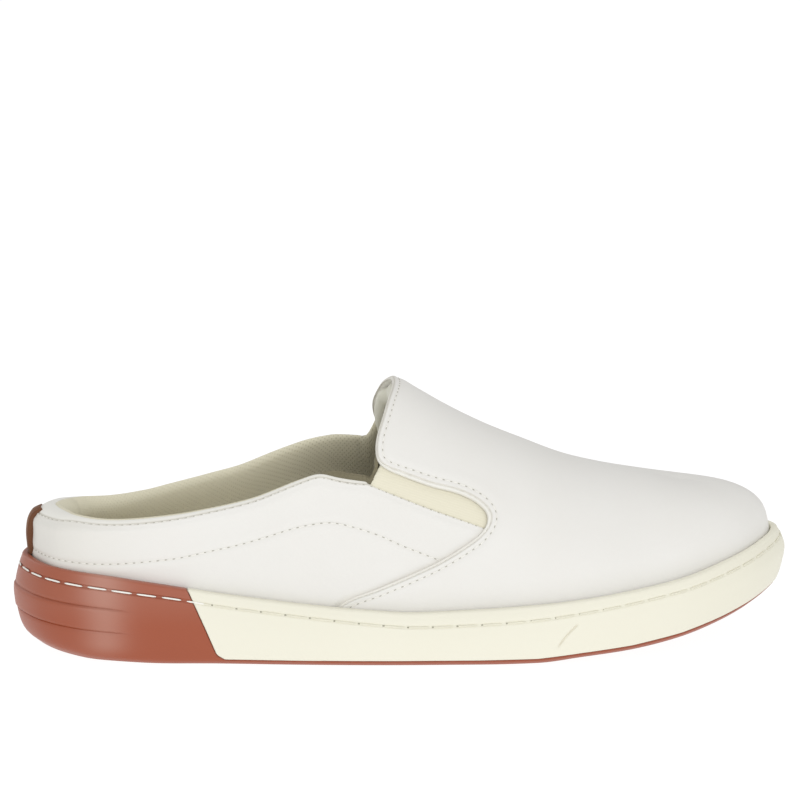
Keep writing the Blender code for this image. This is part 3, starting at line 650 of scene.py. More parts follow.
def pick(skin, order, faces):
    """Skin of some of the points, in an order, with faces that count in that order."""
    return SimpleNamespace(points=skin.points[order], normals=skin.normals[order], faces=faces,
                           values={name: value[order] for name, value in skin.values.items()})


def cut_at(skin, name, *levels):
    """Splits every face along the lines where a named value passes each level."""
    for level in levels:
        value = skin.values[name] - level
        value[np.abs(value) < 0.02] = 0.0
        sign = np.sign(value)
        made, pairs, faces = {}, [], []
        count = len(value)
        for face in skin.faces:
            marks = [sign[v] for v in face]
            if min(marks) >= 0 or max(marks) <= 0:
                faces.append(face)
                continue
            above, below = [], []
            for i, v in enumerate(face):
                w = face[(i + 1) % len(face)]
                if sign[v] >= 0:
                    above.append(v)
                if sign[v] <= 0:
                    below.append(v)
                if sign[v] * sign[w] < 0:
                    key = (v, w) if v < w else (w, v)
                    if key not in made:
                        made[key] = count + len(pairs)
                        pairs.append(key)
                    above.append(made[key])
                    below.append(made[key])
            faces += [tuple(part) for part in (above, below) if len(part) > 2]
        if pairs:
            a, b = np.array(pairs).T
            t = value[a] / (value[a] - value[b])
            mix = t[:, None]
            skin = SimpleNamespace(
                points=np.concatenate([skin.points, skin.points[a] * (1 - mix) + skin.points[b] * mix]),
                normals=np.concatenate([skin.normals, skin.normals[a] * (1 - mix) + skin.normals[b] * mix]),
                faces=faces,
                values={key: np.concatenate([item, item[a] * (1 - t) + item[b] * t])
                        for key, item in skin.values.items()})
    skin.normals = unit(skin.normals)
    return skin


def keep(skin, name, low=-1e9, high=1e9):
    """Keeps the faces whose mean value lies between two levels, after cutting there."""
    skin = cut_at(skin, name, *(level for level in (low, high) if abs(level) < 1e9))
    value = skin.values[name]
    faces = [face for face in skin.faces if low < sum(value[v] for v in face) / len(face) < high]
    used = np.unique(np.concatenate([np.array(face) for face in faces]))
    renumber = np.zeros(len(value), int)
    renumber[used] = np.arange(len(used))
    return pick(skin, used, [tuple(int(renumber[v]) for v in face) for face in faces])


def segments_at(skin, name, level):
    """Pieces of the line on which a named value has a level: pairs of keys, and the place of each key."""
    value = skin.values[name] - level
    value = np.where(value == 0, 1e-9, value)
    pairs, places = [], {}
    for face in skin.faces:
        ends = []
        for i, v in enumerate(face):
            w = face[(i + 1) % len(face)]
            if value[v] * value[w] < 0:
                key = (v, w) if v < w else (w, v)
                if key not in places:
                    t = value[key[0]] / (value[key[0]] - value[key[1]])
                    places[key] = np.concatenate([
                        skin.points[key[0]] * (1 - t) + skin.points[key[1]] * t,
                        skin.normals[key[0]] * (1 - t) + skin.normals[key[1]] * t])
                ends.append(key)
        if len(ends) == 2:
            pairs.append(tuple(ends))
    return pairs, places


def lines_at(skin, name, level, smoothing=4):
    """Ordered lines of points and directions on which a named value has a level."""
    pairs, places = segments_at(skin, name, level)
    beside = {}
    for a, b in pairs:
        beside.setdefault(a, []).append(b)
        beside.setdefault(b, []).append(a)
    left, lines = set(beside), []
    while left:
        start = next((key for key in sorted(left) if len(beside[key]) == 1), None) or min(left)
        line, here = [start], start
        left.discard(start)
        while True:
            onward = [key for key in beside[here] if key in left]
            if not onward:
                break
            here = onward[0]
            left.discard(here)
            line.append(here)
        if len(line) > 10:
            lines.append(np.array([places[key] for key in line]))
    for line in lines:
        for _ in range(smoothing):
            line[1:-1] = (line[:-2] + 2 * line[1:-1] + line[2:]) / 4
    return sorted(lines, key=len, reverse=True)


def distance_to(points, pairs, places):
    """Shortest distance from each point to a set of line pieces."""
    a = np.array([places[p[0]][:3] for p in pairs])
    b = np.array([places[p[1]][:3] for p in pairs])
    along = b - a
    size = np.maximum((along ** 2).sum(1), 1e-12)
    result = np.empty(len(points))
    for start in range(0, len(points), 4000):
        part = points[start:start + 4000, None]
        t = np.clip(((part - a) * along).sum(2) / size, 0, 1)
        result[start:start + 4000] = np.sqrt((((part - a) - along * t[:, :, None]) ** 2).sum(2).min(1))
    return result


def add_distance(skin, name, guide):
    """Adds the true distance from the line where guide is 0, with guide's sign."""
    pairs, places = segments_at(skin, guide, 0.0)
    skin.values[name] = distance_to(skin.points, pairs, places) * np.sign(skin.values[guide])
    return skin


# ---------------------------------------------------------------- meshes
def world(points):
    """Metres in the shoe's own frame, from the tables' millimetres."""
    return (np.asarray(points) - ORIGIN) * MM


def add_object(name, data):
    """New object in the scene."""
    made = bpy.data.objects.new(name, data)
    bpy.context.scene.collection.objects.link(made)
    return made


def bake(piece, modifier):
    """Mesh of a piece as its modifier makes it; the modifier is taken off."""
    bpy.context.view_layer.update()
    mesh = bpy.data.meshes.new_from_object(piece.evaluated_get(bpy.context.evaluated_depsgraph_get()))
    piece.modifiers.remove(modifier)
    return mesh


def new_piece(name, points, faces, material, uv=None, marks=None, sharp=60.0):
    """Object from points in millimetres, with an optional UV map in metres and named marks on its points."""
    mesh = bpy.data.meshes.new(name)
    mesh.from_pydata(world(points).tolist(), [], faces)
    if uv is not None:
        layer = mesh.uv_layers.new(name="cut")
        corner = np.empty(len(mesh.loops), np.int32)
        mesh.loops.foreach_get("vertex_index", corner)
        layer.data.foreach_set("uv", (np.asarray(uv)[corner] * MM).reshape(-1).astype(np.float32))
    for key, value in (marks or {}).items():
        mesh.attributes.new(key, "FLOAT", "POINT").data.foreach_set("value", np.asarray(value, np.float32))
    mesh.shade_smooth()
    mesh.set_sharp_from_angle(angle=math.radians(sharp))
    mesh.materials.append(material)
    return add_object(name, mesh)


def lifted_piece(name, skin, outside, thickness, material, marks=(), uv=None, sharp=60.0):
    """Closed piece from a skin: its face outside the last by a distance, and its back a thickness below."""
    count = len(skin.points)
    outside = np.broadcast_to(outside, count)
    thickness = np.broadcast_to(thickness, count)
    front = skin.points + skin.normals * outside[:, None]
    back = skin.points + skin.normals * (outside - thickness)[:, None]
    edges = dict.fromkeys((v, face[(i + 1) % len(face)]) for face in skin.faces for i, v in enumerate(face))
    faces = list(skin.faces) + [tuple(v + count for v in reversed(face)) for face in skin.faces]
    faces += [(w, v, v + count, w + count) for v, w in edges if (w, v) not in edges]
    doubled = {key: np.tile(skin.values[key], 2) for key in marks}
    uv = np.tile(np.column_stack([skin.values[key] for key in uv]), (2, 1)) if uv else None
    return new_piece(name, np.concatenate([front, back]), faces, material, uv, doubled, sharp)


def fold(distance, radius):
    """How far a rounded edge drops at a distance inside it."""
    inside = np.clip(1 - np.maximum(distance, 0) / radius, 0, 1)
    return radius * (1 - np.sqrt(1 - inside ** 2))


VAMP_LINE, REAR_LINE, ROW_LINE = (smooth_line(rows) for rows in (VAMP_EDGE, GORE_REAR, QUARTER_ROW))


def side_distance(points, line, shifted=True):
    """Distance in side view from a line, positive on its right-hand side.

    The medial side has the line further forward and higher, as far as its gore is, if it is shifted."""
    x, y, z = np.asarray(points).T
    if shifted:
        forward = ramp(y, -12.0, 16.0) * (ramp(z, 24.0, 44.0) - ramp(z, 84.0, 104.0))
        x = x - MEDIAL_SHIFT[0] * forward
        z = z - MEDIAL_SHIFT[1] * forward * ramp(z, 30.0, 60.0)
    flat = np.column_stack([x, z])
    a, along = line[:-1], np.diff(line, axis=0)
    result = np.empty(len(flat))
    for start in range(0, len(flat), 20000):
        offset = flat[start:start + 20000, None] - a
        t = np.clip((offset * along).sum(2) / (along ** 2).sum(1), 0, 1)
        gap = np.linalg.norm(offset - along * t[:, :, None], axis=2)
        near = gap.argmin(1)
        rows = np.arange(len(near))
        beside, way = offset[rows, near], along[near]
        turn = way[:, 0] * beside[:, 1] - way[:, 1] * beside[:, 0]
        result[start:start + 20000] = -np.sign(turn) * gap[rows, near]
    return result


def join_skins(a, b):
    """One skin from two that meet."""
    faces = a.faces + [tuple(v + len(a.points) for v in face) for face in b.faces]
    values = {name: np.concatenate([a.values[name], b.values[name]]) for name in a.values}
    return weld(SimpleNamespace(points=np.concatenate([a.points, b.points]),
                                normals=np.concatenate([a.normals, b.normals]), faces=faces, values=values))


# ---------------------------------------------------------------- finishes
def connect(tree, node, inputs):
    """Gives inputs of a node, by name or number, a value or another node's output."""
    for key, value in inputs.items():
        if isinstance(value, bpy.types.NodeSocket):
            tree.links.new(value, node.inputs[key])
        else:
            node.inputs[key].default_value = value


def add_node(tree, kind, inputs=None, **settings):
    """New node; each of its inputs, by name or number, is given a value or another node's output."""
    made = tree.nodes.new(kind)
    for key, value in settings.items():
        setattr(made, key, value)
    connect(tree, made, inputs or {})
    return made


def math_node(tree, operation, *values):
    """Output of one calculation."""
    return add_node(tree, "ShaderNodeMath", dict(enumerate(values)), operation=operation).outputs[0]


def noise(tree, vector, scale, detail=2.0, rough=0.5):
    """Output of a soft noise."""
    inputs = {"Detail": detail, "Roughness": rough, "Vector": vector, "Scale": scale}
    return add_node(tree, "ShaderNodeTexNoise", inputs).outputs["Fac"]


def mix_colour(tree, factor, a, b):
    """Output between two colours."""
    return add_node(tree, "ShaderNodeMix", {"Factor": factor, 6: a, 7: b}, data_type="RGBA").outputs[2]


def mark_on(tree, name):
    """Output that reads a mark made on the points of a piece."""
    return add_node(tree, "ShaderNodeAttribute", attribute_name=name).outputs["Fac"]


def new_group(name, fine, default, outputs):
    """Shader group from a vector and a scale or pitch to some numbers: tree, both inputs and its end node."""
    tree = bpy.data.node_groups.new(name, "ShaderNodeTree")
    tree.interface.new_socket(name="Vector", in_out="INPUT", socket_type="NodeSocketVector")
    size = tree.interface.new_socket(name=fine, in_out="INPUT", socket_type="NodeSocketFloat")
    size.default_value = default
    for label in outputs:
        tree.interface.new_socket(name=label, in_out="OUTPUT", socket_type="NodeSocketFloat")
    start = add_node(tree, "NodeGroupInput")
    return tree, start.outputs["Vector"], start.outputs[fine], add_node(tree, "NodeGroupOutput")


def grain_group():
    """Fine pebble of smooth leather, with broad soft patches."""
    tree, vector, scale, end = new_group("leather_grain", "Scale", 900.0, ("Height", "Patches"))
    cells = add_node(tree, "ShaderNodeTexVoronoi", {"Vector": vector, "Scale": scale}, feature="SMOOTH_F1")
    fine = noise(tree, vector, scale, 3.0, 0.6)
    height = math_node(tree, "MULTIPLY_ADD", fine, 0.6, cells.outputs["Distance"])
    connect(tree, end, {"Height": height, "Patches": noise(tree, vector, 34.0, 3.0)})
    return tree


def knit_group():
    """Spacer knit: small pits in staggered rows on a felted face."""
    tree, vector, pitch, end = new_group("spacer_knit", "Pitch", 0.0014, ("Height", "Pits"))
    parts = add_node(tree, "ShaderNodeSeparateXYZ", {0: vector})
    waves = []
    for i, stretch in ((0, 1.0), (1, 0.8)):
        turns = math_node(tree, "DIVIDE", parts.outputs[i], pitch)
        waves.append(math_node(tree, "COSINE", math_node(tree, "MULTIPLY", turns, math.tau * stretch / 2)))
    product = math_node(tree, "MULTIPLY", waves[0], waves[1])
    deep = math_node(tree, "MAXIMUM", math_node(tree, "SUBTRACT", product, 0.4), 0.0)
    pits = math_node(tree, "MULTIPLY", deep, 1.6)
    fuzz = noise(tree, vector, 2200.0, 3.0, 0.65)
    height = math_node(tree, "SUBTRACT", math_node(tree, "MULTIPLY", fuzz, 0.7), pits)
    connect(tree, end, {"Height": height, "Pits": pits})
    return tree


def rib_group():
    """Elastic webbing: fine ribs along its length."""
    tree, vector, pitch, end = new_group("elastic_ribs", "Pitch", 0.0011, ("Height", "Grooves"))
    parts = add_node(tree, "ShaderNodeSeparateXYZ", {0: vector})
    turns = math_node(tree, "DIVIDE", parts.outputs[1], pitch)
    wave = math_node(tree, "SINE", math_node(tree, "MULTIPLY", turns, math.tau / 2))
    wave = math_node(tree, "ABSOLUTE", wave)
    height = math_node(tree, "MULTIPLY_ADD", noise(tree, vector, 2600.0, 2.0), 0.3, wave)
    connect(tree, end, {"Height": height, "Grooves": math_node(tree, "SUBTRACT", 1.0, wave)})
    return tree


GRAIN, KNIT, RIBS = grain_group(), knit_group(), rib_group()


def finish(name, colour, roughness, group, fine, depth, shade=(0.9, 0.88, 0.84), amount=0.35, uv=False,
           seam=None, specular=0.5, sheen=0.0, spread=None, painted_highlight=None):
    """Material: base colour, a shared group for relief and a second tone, and two tints by marks: painted
    shade along seams, folds and hollows (also some soiling, and the heel tab's paler middle), and a painted
    highlight.

    fine is the group's scale or pitch, depth its height in metres. The second tone is shade times the colour,
    and amount is its strength. Where a spread is named, that mark on the piece says how much of it shows."""
    material = bpy.data.materials.new(name)
    material.use_nodes = True
    material.diffuse_color = (*colour, 1.0)
    tree = material.node_tree
    shader = tree.nodes["Principled BSDF"]
    place = add_node(tree, "ShaderNodeTexCoord").outputs["Object"]
    if uv:
        place = add_node(tree, "ShaderNodeUVMap", uv_map="cut").outputs["UV"]
    texture = add_node(tree, "ShaderNodeGroup", {"Vector": place, 1: fine}, node_tree=group)
    raised = add_node(tree, "ShaderNodeBump", {
        "Strength": 1.0, "Distance": depth, "Height": texture.outputs["Height"]})
    strength = math_node(tree, "MULTIPLY", texture.outputs[1], amount)
    if spread:
        strength = math_node(tree, "MULTIPLY", strength, mark_on(tree, spread))
    second_tone = tuple(c * s for c, s in zip(colour, shade)) + (1.0,)
    mixed = mix_colour(tree, strength, (*colour, 1.0), second_tone)
    for mark_name, tint in (("painted_highlight", painted_highlight), ("seam", seam)):
        if tint:
            mixed = mix_colour(tree, mark_on(tree, mark_name), mixed, (*tint, 1.0))
    connect(tree, shader, {
        "Base Color": mixed, "Normal": raised.outputs["Normal"], "Roughness": roughness,
        "Specular IOR Level": specular, "Sheen Weight": sheen, "Sheen Roughness": 0.6})
    return material


# The seam tints below are painted shade in seams, folds, joints and hollows, with some soiling on the
# quarters; the heel tab's is a paler middle instead.
WHITE_LEATHER = finish("white_leather", (0.80, 0.79, 0.76), 0.5, GRAIN, 950.0, 0.00005,
                       seam=(0.60, 0.57, 0.48), specular=0.3)
EDGE_LEATHER = finish("edge_leather", (0.84, 0.83, 0.78), 0.5, GRAIN, 950.0, 0.00004,
                      seam=(0.58, 0.55, 0.48))
# Its nearly black seam tint is painted shade inside the shoe.
LINING = finish("lining_knit", (0.74, 0.70, 0.54), 0.85, KNIT, 0.0008, 0.00014, shade=(0.6, 0.58, 0.5),
                amount=0.8, uv=True, seam=(0.16, 0.14, 0.085), specular=0.2, sheen=0.1, spread="knit_pits_and_shade")
INSOLE_CLOTH = finish("insole_cloth", (0.60, 0.56, 0.44), 0.9, KNIT, 0.00048, 0.0001,
                      shade=(0.6, 0.58, 0.52), amount=0.4, uv=True, specular=0.2, sheen=0.1)
ELASTIC = finish("elastic_webbing", (0.785, 0.75, 0.605), 0.8, RIBS, 0.0009, 0.00003,
                 amount=0.3, uv=True, specular=0.25, sheen=0.1)
TONGUE_LEATHER = finish("tongue_leather", (0.68, 0.67, 0.57), 0.5, GRAIN, 800.0, 0.00006)
TAB_LEATHER = finish("tab_leather", (0.12, 0.048, 0.021), 0.6, GRAIN, 1100.0, 0.00012,
                     shade=(1.7, 1.6, 1.5), amount=0.6, seam=(0.26, 0.13, 0.07), specular=0.25)
CREAM_RUBBER = finish("cream_rubber", (0.81, 0.79, 0.675), 0.55, GRAIN, 2400.0, 0.00002,
                      shade=(0.96, 0.95, 0.9), seam=(0.62, 0.57, 0.44), specular=0.35)
# Its pale tint is a painted highlight.
TERRACOTTA = finish("terracotta_rubber", (0.338, 0.079, 0.033), 0.4, GRAIN, 2400.0, 0.00002,
                    shade=(0.86, 0.82, 0.8), amount=0.5, seam=(0.2, 0.05, 0.03), specular=0.42,
                    painted_highlight=(0.50, 0.27, 0.21))
THREAD = finish("white_thread", (0.88, 0.87, 0.82), 0.7, GRAIN, 3000.0, 0.00003)
CREAM_THREAD = finish("cream_thread", (0.78, 0.76, 0.64), 0.7, GRAIN, 3000.0, 0.00003)
# Dark colours of the needle holes: painted shade for the holes between the threads.
HEEL_HOLE_SHADE = finish("heel_hole_shade", (0.13, 0.045, 0.025), 0.9, GRAIN, 2000.0, 0.00001)
CREAM_HOLE_SHADE = finish("cream_hole_shade", (0.36, 0.35, 0.27), 0.9, GRAIN, 2000.0, 0.00001)
LEATHER_HOLE_SHADE = finish("leather_hole_shade", (0.45, 0.44, 0.38), 0.9, GRAIN, 2000.0, 0.00001)


# ---------------------------------------------------------------- quarters, collar and lining
CUP_DEPTH = 4.5                 # the leather reaches this far down into the cup
BESIDE_VAMP = 0.9               # the quarters swell by this where they run into the vamp above the cup
SEAM_TURN = np.arcsin(np.clip(1 - read(BINDING, "drop", RING_X, even=True) / ROLL, 0.0, 1.0))
RUN_SEAM = RUN_EDGE + ROLL * SEAM_TURN
GORE_X = RING_X - side_of(0.0, MEDIAL_SHIFT[0])
# Height of the quarters' top along the elastic; behind the elastic it goes on rising at a slant.
GORE_Z = (read(GORE_LINE, "z", GORE_X) + side_of(0.0, MEDIAL_SHIFT[1])
          + 0.5 * np.maximum(GORE_LINE[0].x - GORE_X, 0))
RUN_GORE = run_at_height(GORE_Z)
QUARTER_TOP = np.where(OPEN, np.minimum(RUN_SEAM, RUN_GORE), RUN_GORE)
IN_CUP = run_at_height(RIM - CUP_DEPTH)


def make_quarters():
    """Both quarters in one round the heel; also their face, for the stitches."""
    stations = ring_span(0.0, 190.0, through_toe=False)
    points, normals, runs = path_grid(stations, IN_CUP, QUARTER_TOP, 64)
    top = QUARTER_TOP[stations][:, None] - runs
    skin = grid_skin(points, normals, top=top, x=RING_X[stations][:, None], rim=RIM[stations][:, None])
    skin.values["vamp"] = side_distance(skin.points, VAMP_LINE)
    skin.values["row"] = side_distance(skin.points, ROW_LINE)
    skin = keep(skin, "vamp", high=7.0)
    skin = cut_at(skin, "top", COLLAR_ROW, 0.9)
    top, row, vamp, x, rim = (skin.values[key] for key in ("top", "row", "vamp", "x", "rim"))
    low = 1 - ramp(skin.points[:, 2] - rim, 0.0, 9.0)
    before_vamp = 1 - ramp(vamp, -2.4, 0.2)
    face = BESIDE_VAMP * ramp(x, 100.0, 113.0) * low * before_vamp
    face += relief(row, ROW_SWELLS)
    face += relief(top, QUARTER_TOP_SWELLS)
    face -= fold(top, 0.75)
    # Painted shade along the top edge, in the stitch row and under the vamp's edge, partly soiling too; and
    # painted shade darkening the back of the heel.
    shade_and_soil = 0.45 * bump(top, 0.0, 0.5) + 0.12 * bump(row, 0.0, 0.5) + 0.25 * bump(vamp, 0.0, 1.2)
    skin.values["seam"] = shade_and_soil + 0.24 * (1 - ramp(x, 8.0, 62.0))
    piece = lifted_piece("quarters", skin, face, LEATHER, WHITE_LEATHER, marks=("seam",))
    skin.points = skin.points + skin.normals * face[:, None]
    return piece, skin


# Where leather gives way to textile: near the roll's crest, a little inside it at the heel, and outside it
# where the elastic starts.
PAST_CREST = 1 - ramp(RING_X, 8.0, 26.0)
AT_ELASTIC = ramp(RING_X, 136.9, 138.2)
RUN_TEXTILE = RUN_EDGE + ROLL * np.radians(86 + 14 * PAST_CREST) * (1 - AT_ELASTIC) - 2.0 * AT_ELASTIC
RUN_TEXTILE = np.where(OPEN, RUN_TEXTILE, RUN_INNER)


def make_collar_binding():
    """Strip of folded leather over the padded roll."""
    stations = ring_span(0.0, 137.2, through_toe=False)
    low = np.minimum(RUN_SEAM, QUARTER_TOP) - 1.6
    points, normals, runs = path_grid(stations, low, RUN_TEXTILE, 26)
    skin = grid_skin(points, normals, up=runs - QUARTER_TOP[stations][:, None],
                     end=RUN_TEXTILE[stations][:, None] - runs)
    skin.values["rear"] = side_distance(skin.points, REAR_LINE)
    skin = keep(skin, "rear", high=0.2)
    up, end, rear = (skin.values[key] for key in ("up", "end", "rear"))
    face = -0.30 - 0.5 * (1 - ramp(up, -0.6, 0.3)) - fold(end, 0.45)
    face -= 0.7 * ramp(rear, -2.4, -0.4)
    # Painted shade along the seam below the binding and into the fold at its end.
    skin.values["seam"] = 0.6 * bump(up, 0.1, 0.45) + 0.3 * bump(end, 0.0, 0.4)
    return lifted_piece("collar_binding", skin, face, 0.8, EDGE_LEATHER, marks=("seam",))


LINING_RISE = 2.5               # the lateral side's lining stands this much higher beside the elastic


def make_lining():
    """Knit lining all round, with painted shade that darkens it towards the toe, and on the lateral side
    beside the elastic.
    """
    low = np.where(OPEN, RUN_TEXTILE - 1.4, RUN_INNER)
    points, normals, runs = path_grid(WHOLE_RING, low, RUN_END, 72)
    skin = grid_skin(points, normals, around=AROUND[WHOLE_RING][:, None], run=runs,
                     past=runs - low[WHOLE_RING][:, None])
    past = skin.values["past"]
    x, y, z = skin.points.T
    lateral = 1 - ramp(y, -10.0, 0.0)
    face = -(0.55 + 1.1 * ramp(x, 137.0, 138.5)) * (1 - ramp(past, 0.9, 2.4))
    high = ramp(past, 1.2, 2.6) * (1 - ramp(past, 4.5, 14.0))
    high = high * ramp(x, 113.0, 124.0) * (1 - ramp(x, 133.0, 142.0))
    skin.points[:, 2] = z + LINING_RISE * high * lateral
    # More knit pits show towards the toe; their darker tone there is partly painted shade.
    skin.values["knit_pits_and_shade"] = 0.2 + 0.7 * ramp(x, 80.0, 130.0)
    # Painted shade: the lining darkens towards the toe and deeper inside, and strongly on the lateral side
    # from beside the elastic on.
    near = 0.95 * ramp(x, 109.0, 116.0) * lateral
    skin.values["seam"] = np.maximum(0.62 * ramp(x, 92.0, 146.0) * ramp(past, 1.0, 16.0), near)
    return lifted_piece("lining", skin, face, EDGE_SKIN, LINING, marks=("knit_pits_and_shade", "seam"),
                        uv=("around", "run"))


# ---------------------------------------------------------------- vamp and elastic
def last_skin(low_x, low, high, rows, side=None, **values):
    """Skin of the last from a distance on through the toe, or of one side of it."""
    stations = ring_span(low_x, LENGTH, through_toe=True)
    if side:
        stations = [k for k in stations if MEDIAL[k] == (side > 0)]
    points, normals = last_grid(stations, low, high, rows)
    return grid_skin(points, normals, **{name: value[stations][:, None] for name, value in values.items()})


def vamp_face(skin):
    """How far the vamp's face stands off the last: less where the cup holds it."""
    above = skin.points[:, 2] - skin.values["rim"]
    return VAMP_PROUD_IN_CUP + (VAMP_PROUD - VAMP_PROUD_IN_CUP) * ramp(above, 0.0, 9.0)


def strip_width(skin):
    """How much of the folded under-strip shows beside the vamp's edge."""
    z = skin.points[:, 2]
    return 0.95 + 0.5 * ramp(z, 48.0, 58.0) - 1.0 * ramp(z, 72.0, 80.0)


def make_vamp():
    """Vamp and the folded strip under its edge; also the vamp's face, for the stitches."""
    skin = last_skin(112.0, IN_CUP, RUNS[:, -1], 110, rim=RIM)
    skin.values["guide"] = side_distance(skin.points, VAMP_LINE)
    skin = add_distance(skin, "edge", "guide")
    skin.values["inner"] = skin.values["edge"] - strip_width(skin)
    binding = keep(skin, "edge", low=0.0, high=4.5)
    vamp = keep(skin, "inner", low=0.0)
    vamp = cut_at(vamp, "inner", 0.3, 0.6, 1.25, VAMP_ROW, 2.65)
    d = vamp.values["inner"]
    face = vamp_face(vamp) - fold(d, 0.65)
    face += relief(d, VAMP_SWELLS)
    # Painted shade in the fold at the vamp's edge and along its stitch row.
    vamp.values["seam"] = 0.4 * bump(d, 0.0, 0.35) + 0.12 * bump(d, VAMP_ROW, 0.5)
    piece = lifted_piece("vamp_leather", vamp, face, LEATHER, WHITE_LEATHER, marks=("seam",))
    binding = cut_at(binding, "edge", 0.25, 0.5)
    d, under = binding.values["edge"], binding.values["inner"]
    low_face = vamp_face(binding) - 0.55 - fold(d, 0.5) - 0.5 * ramp(under, -0.35, 0.3)
    # Painted shade along the strip's outer edge and where it runs under the vamp.
    binding.values["seam"] = 0.35 * bump(d, 0.0, 0.3) + 0.45 * bump(under, 0.0, 0.35)
    strip_piece = lifted_piece("vamp_binding", binding, low_face, EDGE_SKIN, EDGE_LEATHER, marks=("seam",))
    vamp.points = vamp.points + vamp.normals * face[:, None]
    return piece, strip_piece, vamp


RIB_SLANT = math.radians(-18.7)     # the elastic's ribs run down towards the toe
UNDER_QUARTER, UNDER_VAMP = 2.6, 3.5    # how far the elastic reaches under its neighbours


def make_gore(name, side):
    """Elastic gore of one side, under the quarter's top edge and the vamp's rear edge."""
    low, high = run_at_height(GORE_Z - 6.0), run_at_height(97.0)
    skin = last_skin(130.0, low, high, 90, side=side)
    skin.values["line"] = skin.points[:, 2] - np.interp(skin.points[:, 0], *gore_heights(side))
    skin.values["rear"] = side_distance(skin.points, REAR_LINE)
    skin.values["vamp"] = side_distance(skin.points, VAMP_LINE)
    skin = keep(keep(keep(skin, "vamp", high=UNDER_VAMP), "rear", low=0.0), "line", low=-UNDER_QUARTER)
    face = -0.45 - 0.9 * (1 - ramp(skin.values["line"], -0.9, 0.2)) - fold(skin.values["rear"], 0.4)
    x, z = skin.points[:, 0], skin.points[:, 2]
    skin.values["along"] = x * math.cos(RIB_SLANT) + z * math.sin(RIB_SLANT)
    skin.values["across"] = z * math.cos(RIB_SLANT) - x * math.sin(RIB_SLANT)
    return lifted_piece(name, skin, face, EDGE_SKIN, ELASTIC, uv=("along", "across"))


def gore_heights(side):
    """Distances from the heel and heights of the quarter's top along one side's elastic."""
    picked = [k for k in range(RING) if MEDIAL[k] == (side > 0) and 100 < RING_X[k] < 230]
    order = sorted(picked, key=lambda k: RING_X[k])
    return RING_X[order], GORE_Z[order]


# ---------------------------------------------------------------- tongue
TONGUE_DEPTH = 3.9              # the roll's top lies this far below the last, under the vamp
TONGUE_PAD = 4.0                # its thickness there
TONGUE_SWELL = 4.6              # how much its top rises behind the vamp's edge
TONGUE_START, TONGUE_END = 138.0, 176.0
TONGUE_FOOT = 0.60              # share of the way up the last at which it starts on both sides
NOSE = 4.4                      # length of its rounded rear end
# How far back the roll comes at each height.
Roll = namedtuple("Roll", "z lateral medial")
TONGUE_ROLL = (
    Roll(80.0, 141.5, 142.6),
    Roll(85.0, 141.5, 141.3),
    Roll(90.0, 142.6, 141.0),
    Roll(95.0, 144.4, 141.8),
    Roll(99.0, 146.0, 143.0),
    Roll(102.0, 147.0, 147.0),
)


def arch_rows(xs, low_run_share, rows):
    """Points of arches over the instep at any distances from the heel, lateral foot to medial foot."""
    arches = []
    for x in xs:
        after = int(np.clip(np.searchsorted(STATIONS, x), 1, LAST))
        share = (x - STATIONS[after - 1]) / (STATIONS[after] - STATIONS[after - 1])
        halves = []
        for side in (-1, 1):
            pair = [k if side < 0 else mirrored(k) for k in (after - 1, after)]
            section = SECTIONS[pair[0]] * (1 - share) + SECTIONS[pair[1]] * share
            run = run_of(section)
            at = np.linspace(low_run_share, 1.0, rows) * run[-1]
            halves.append(points_at(at, run, section))
        arches.append(np.concatenate([halves[0], halves[1][-2::-1]]))
    return np.array(arches)


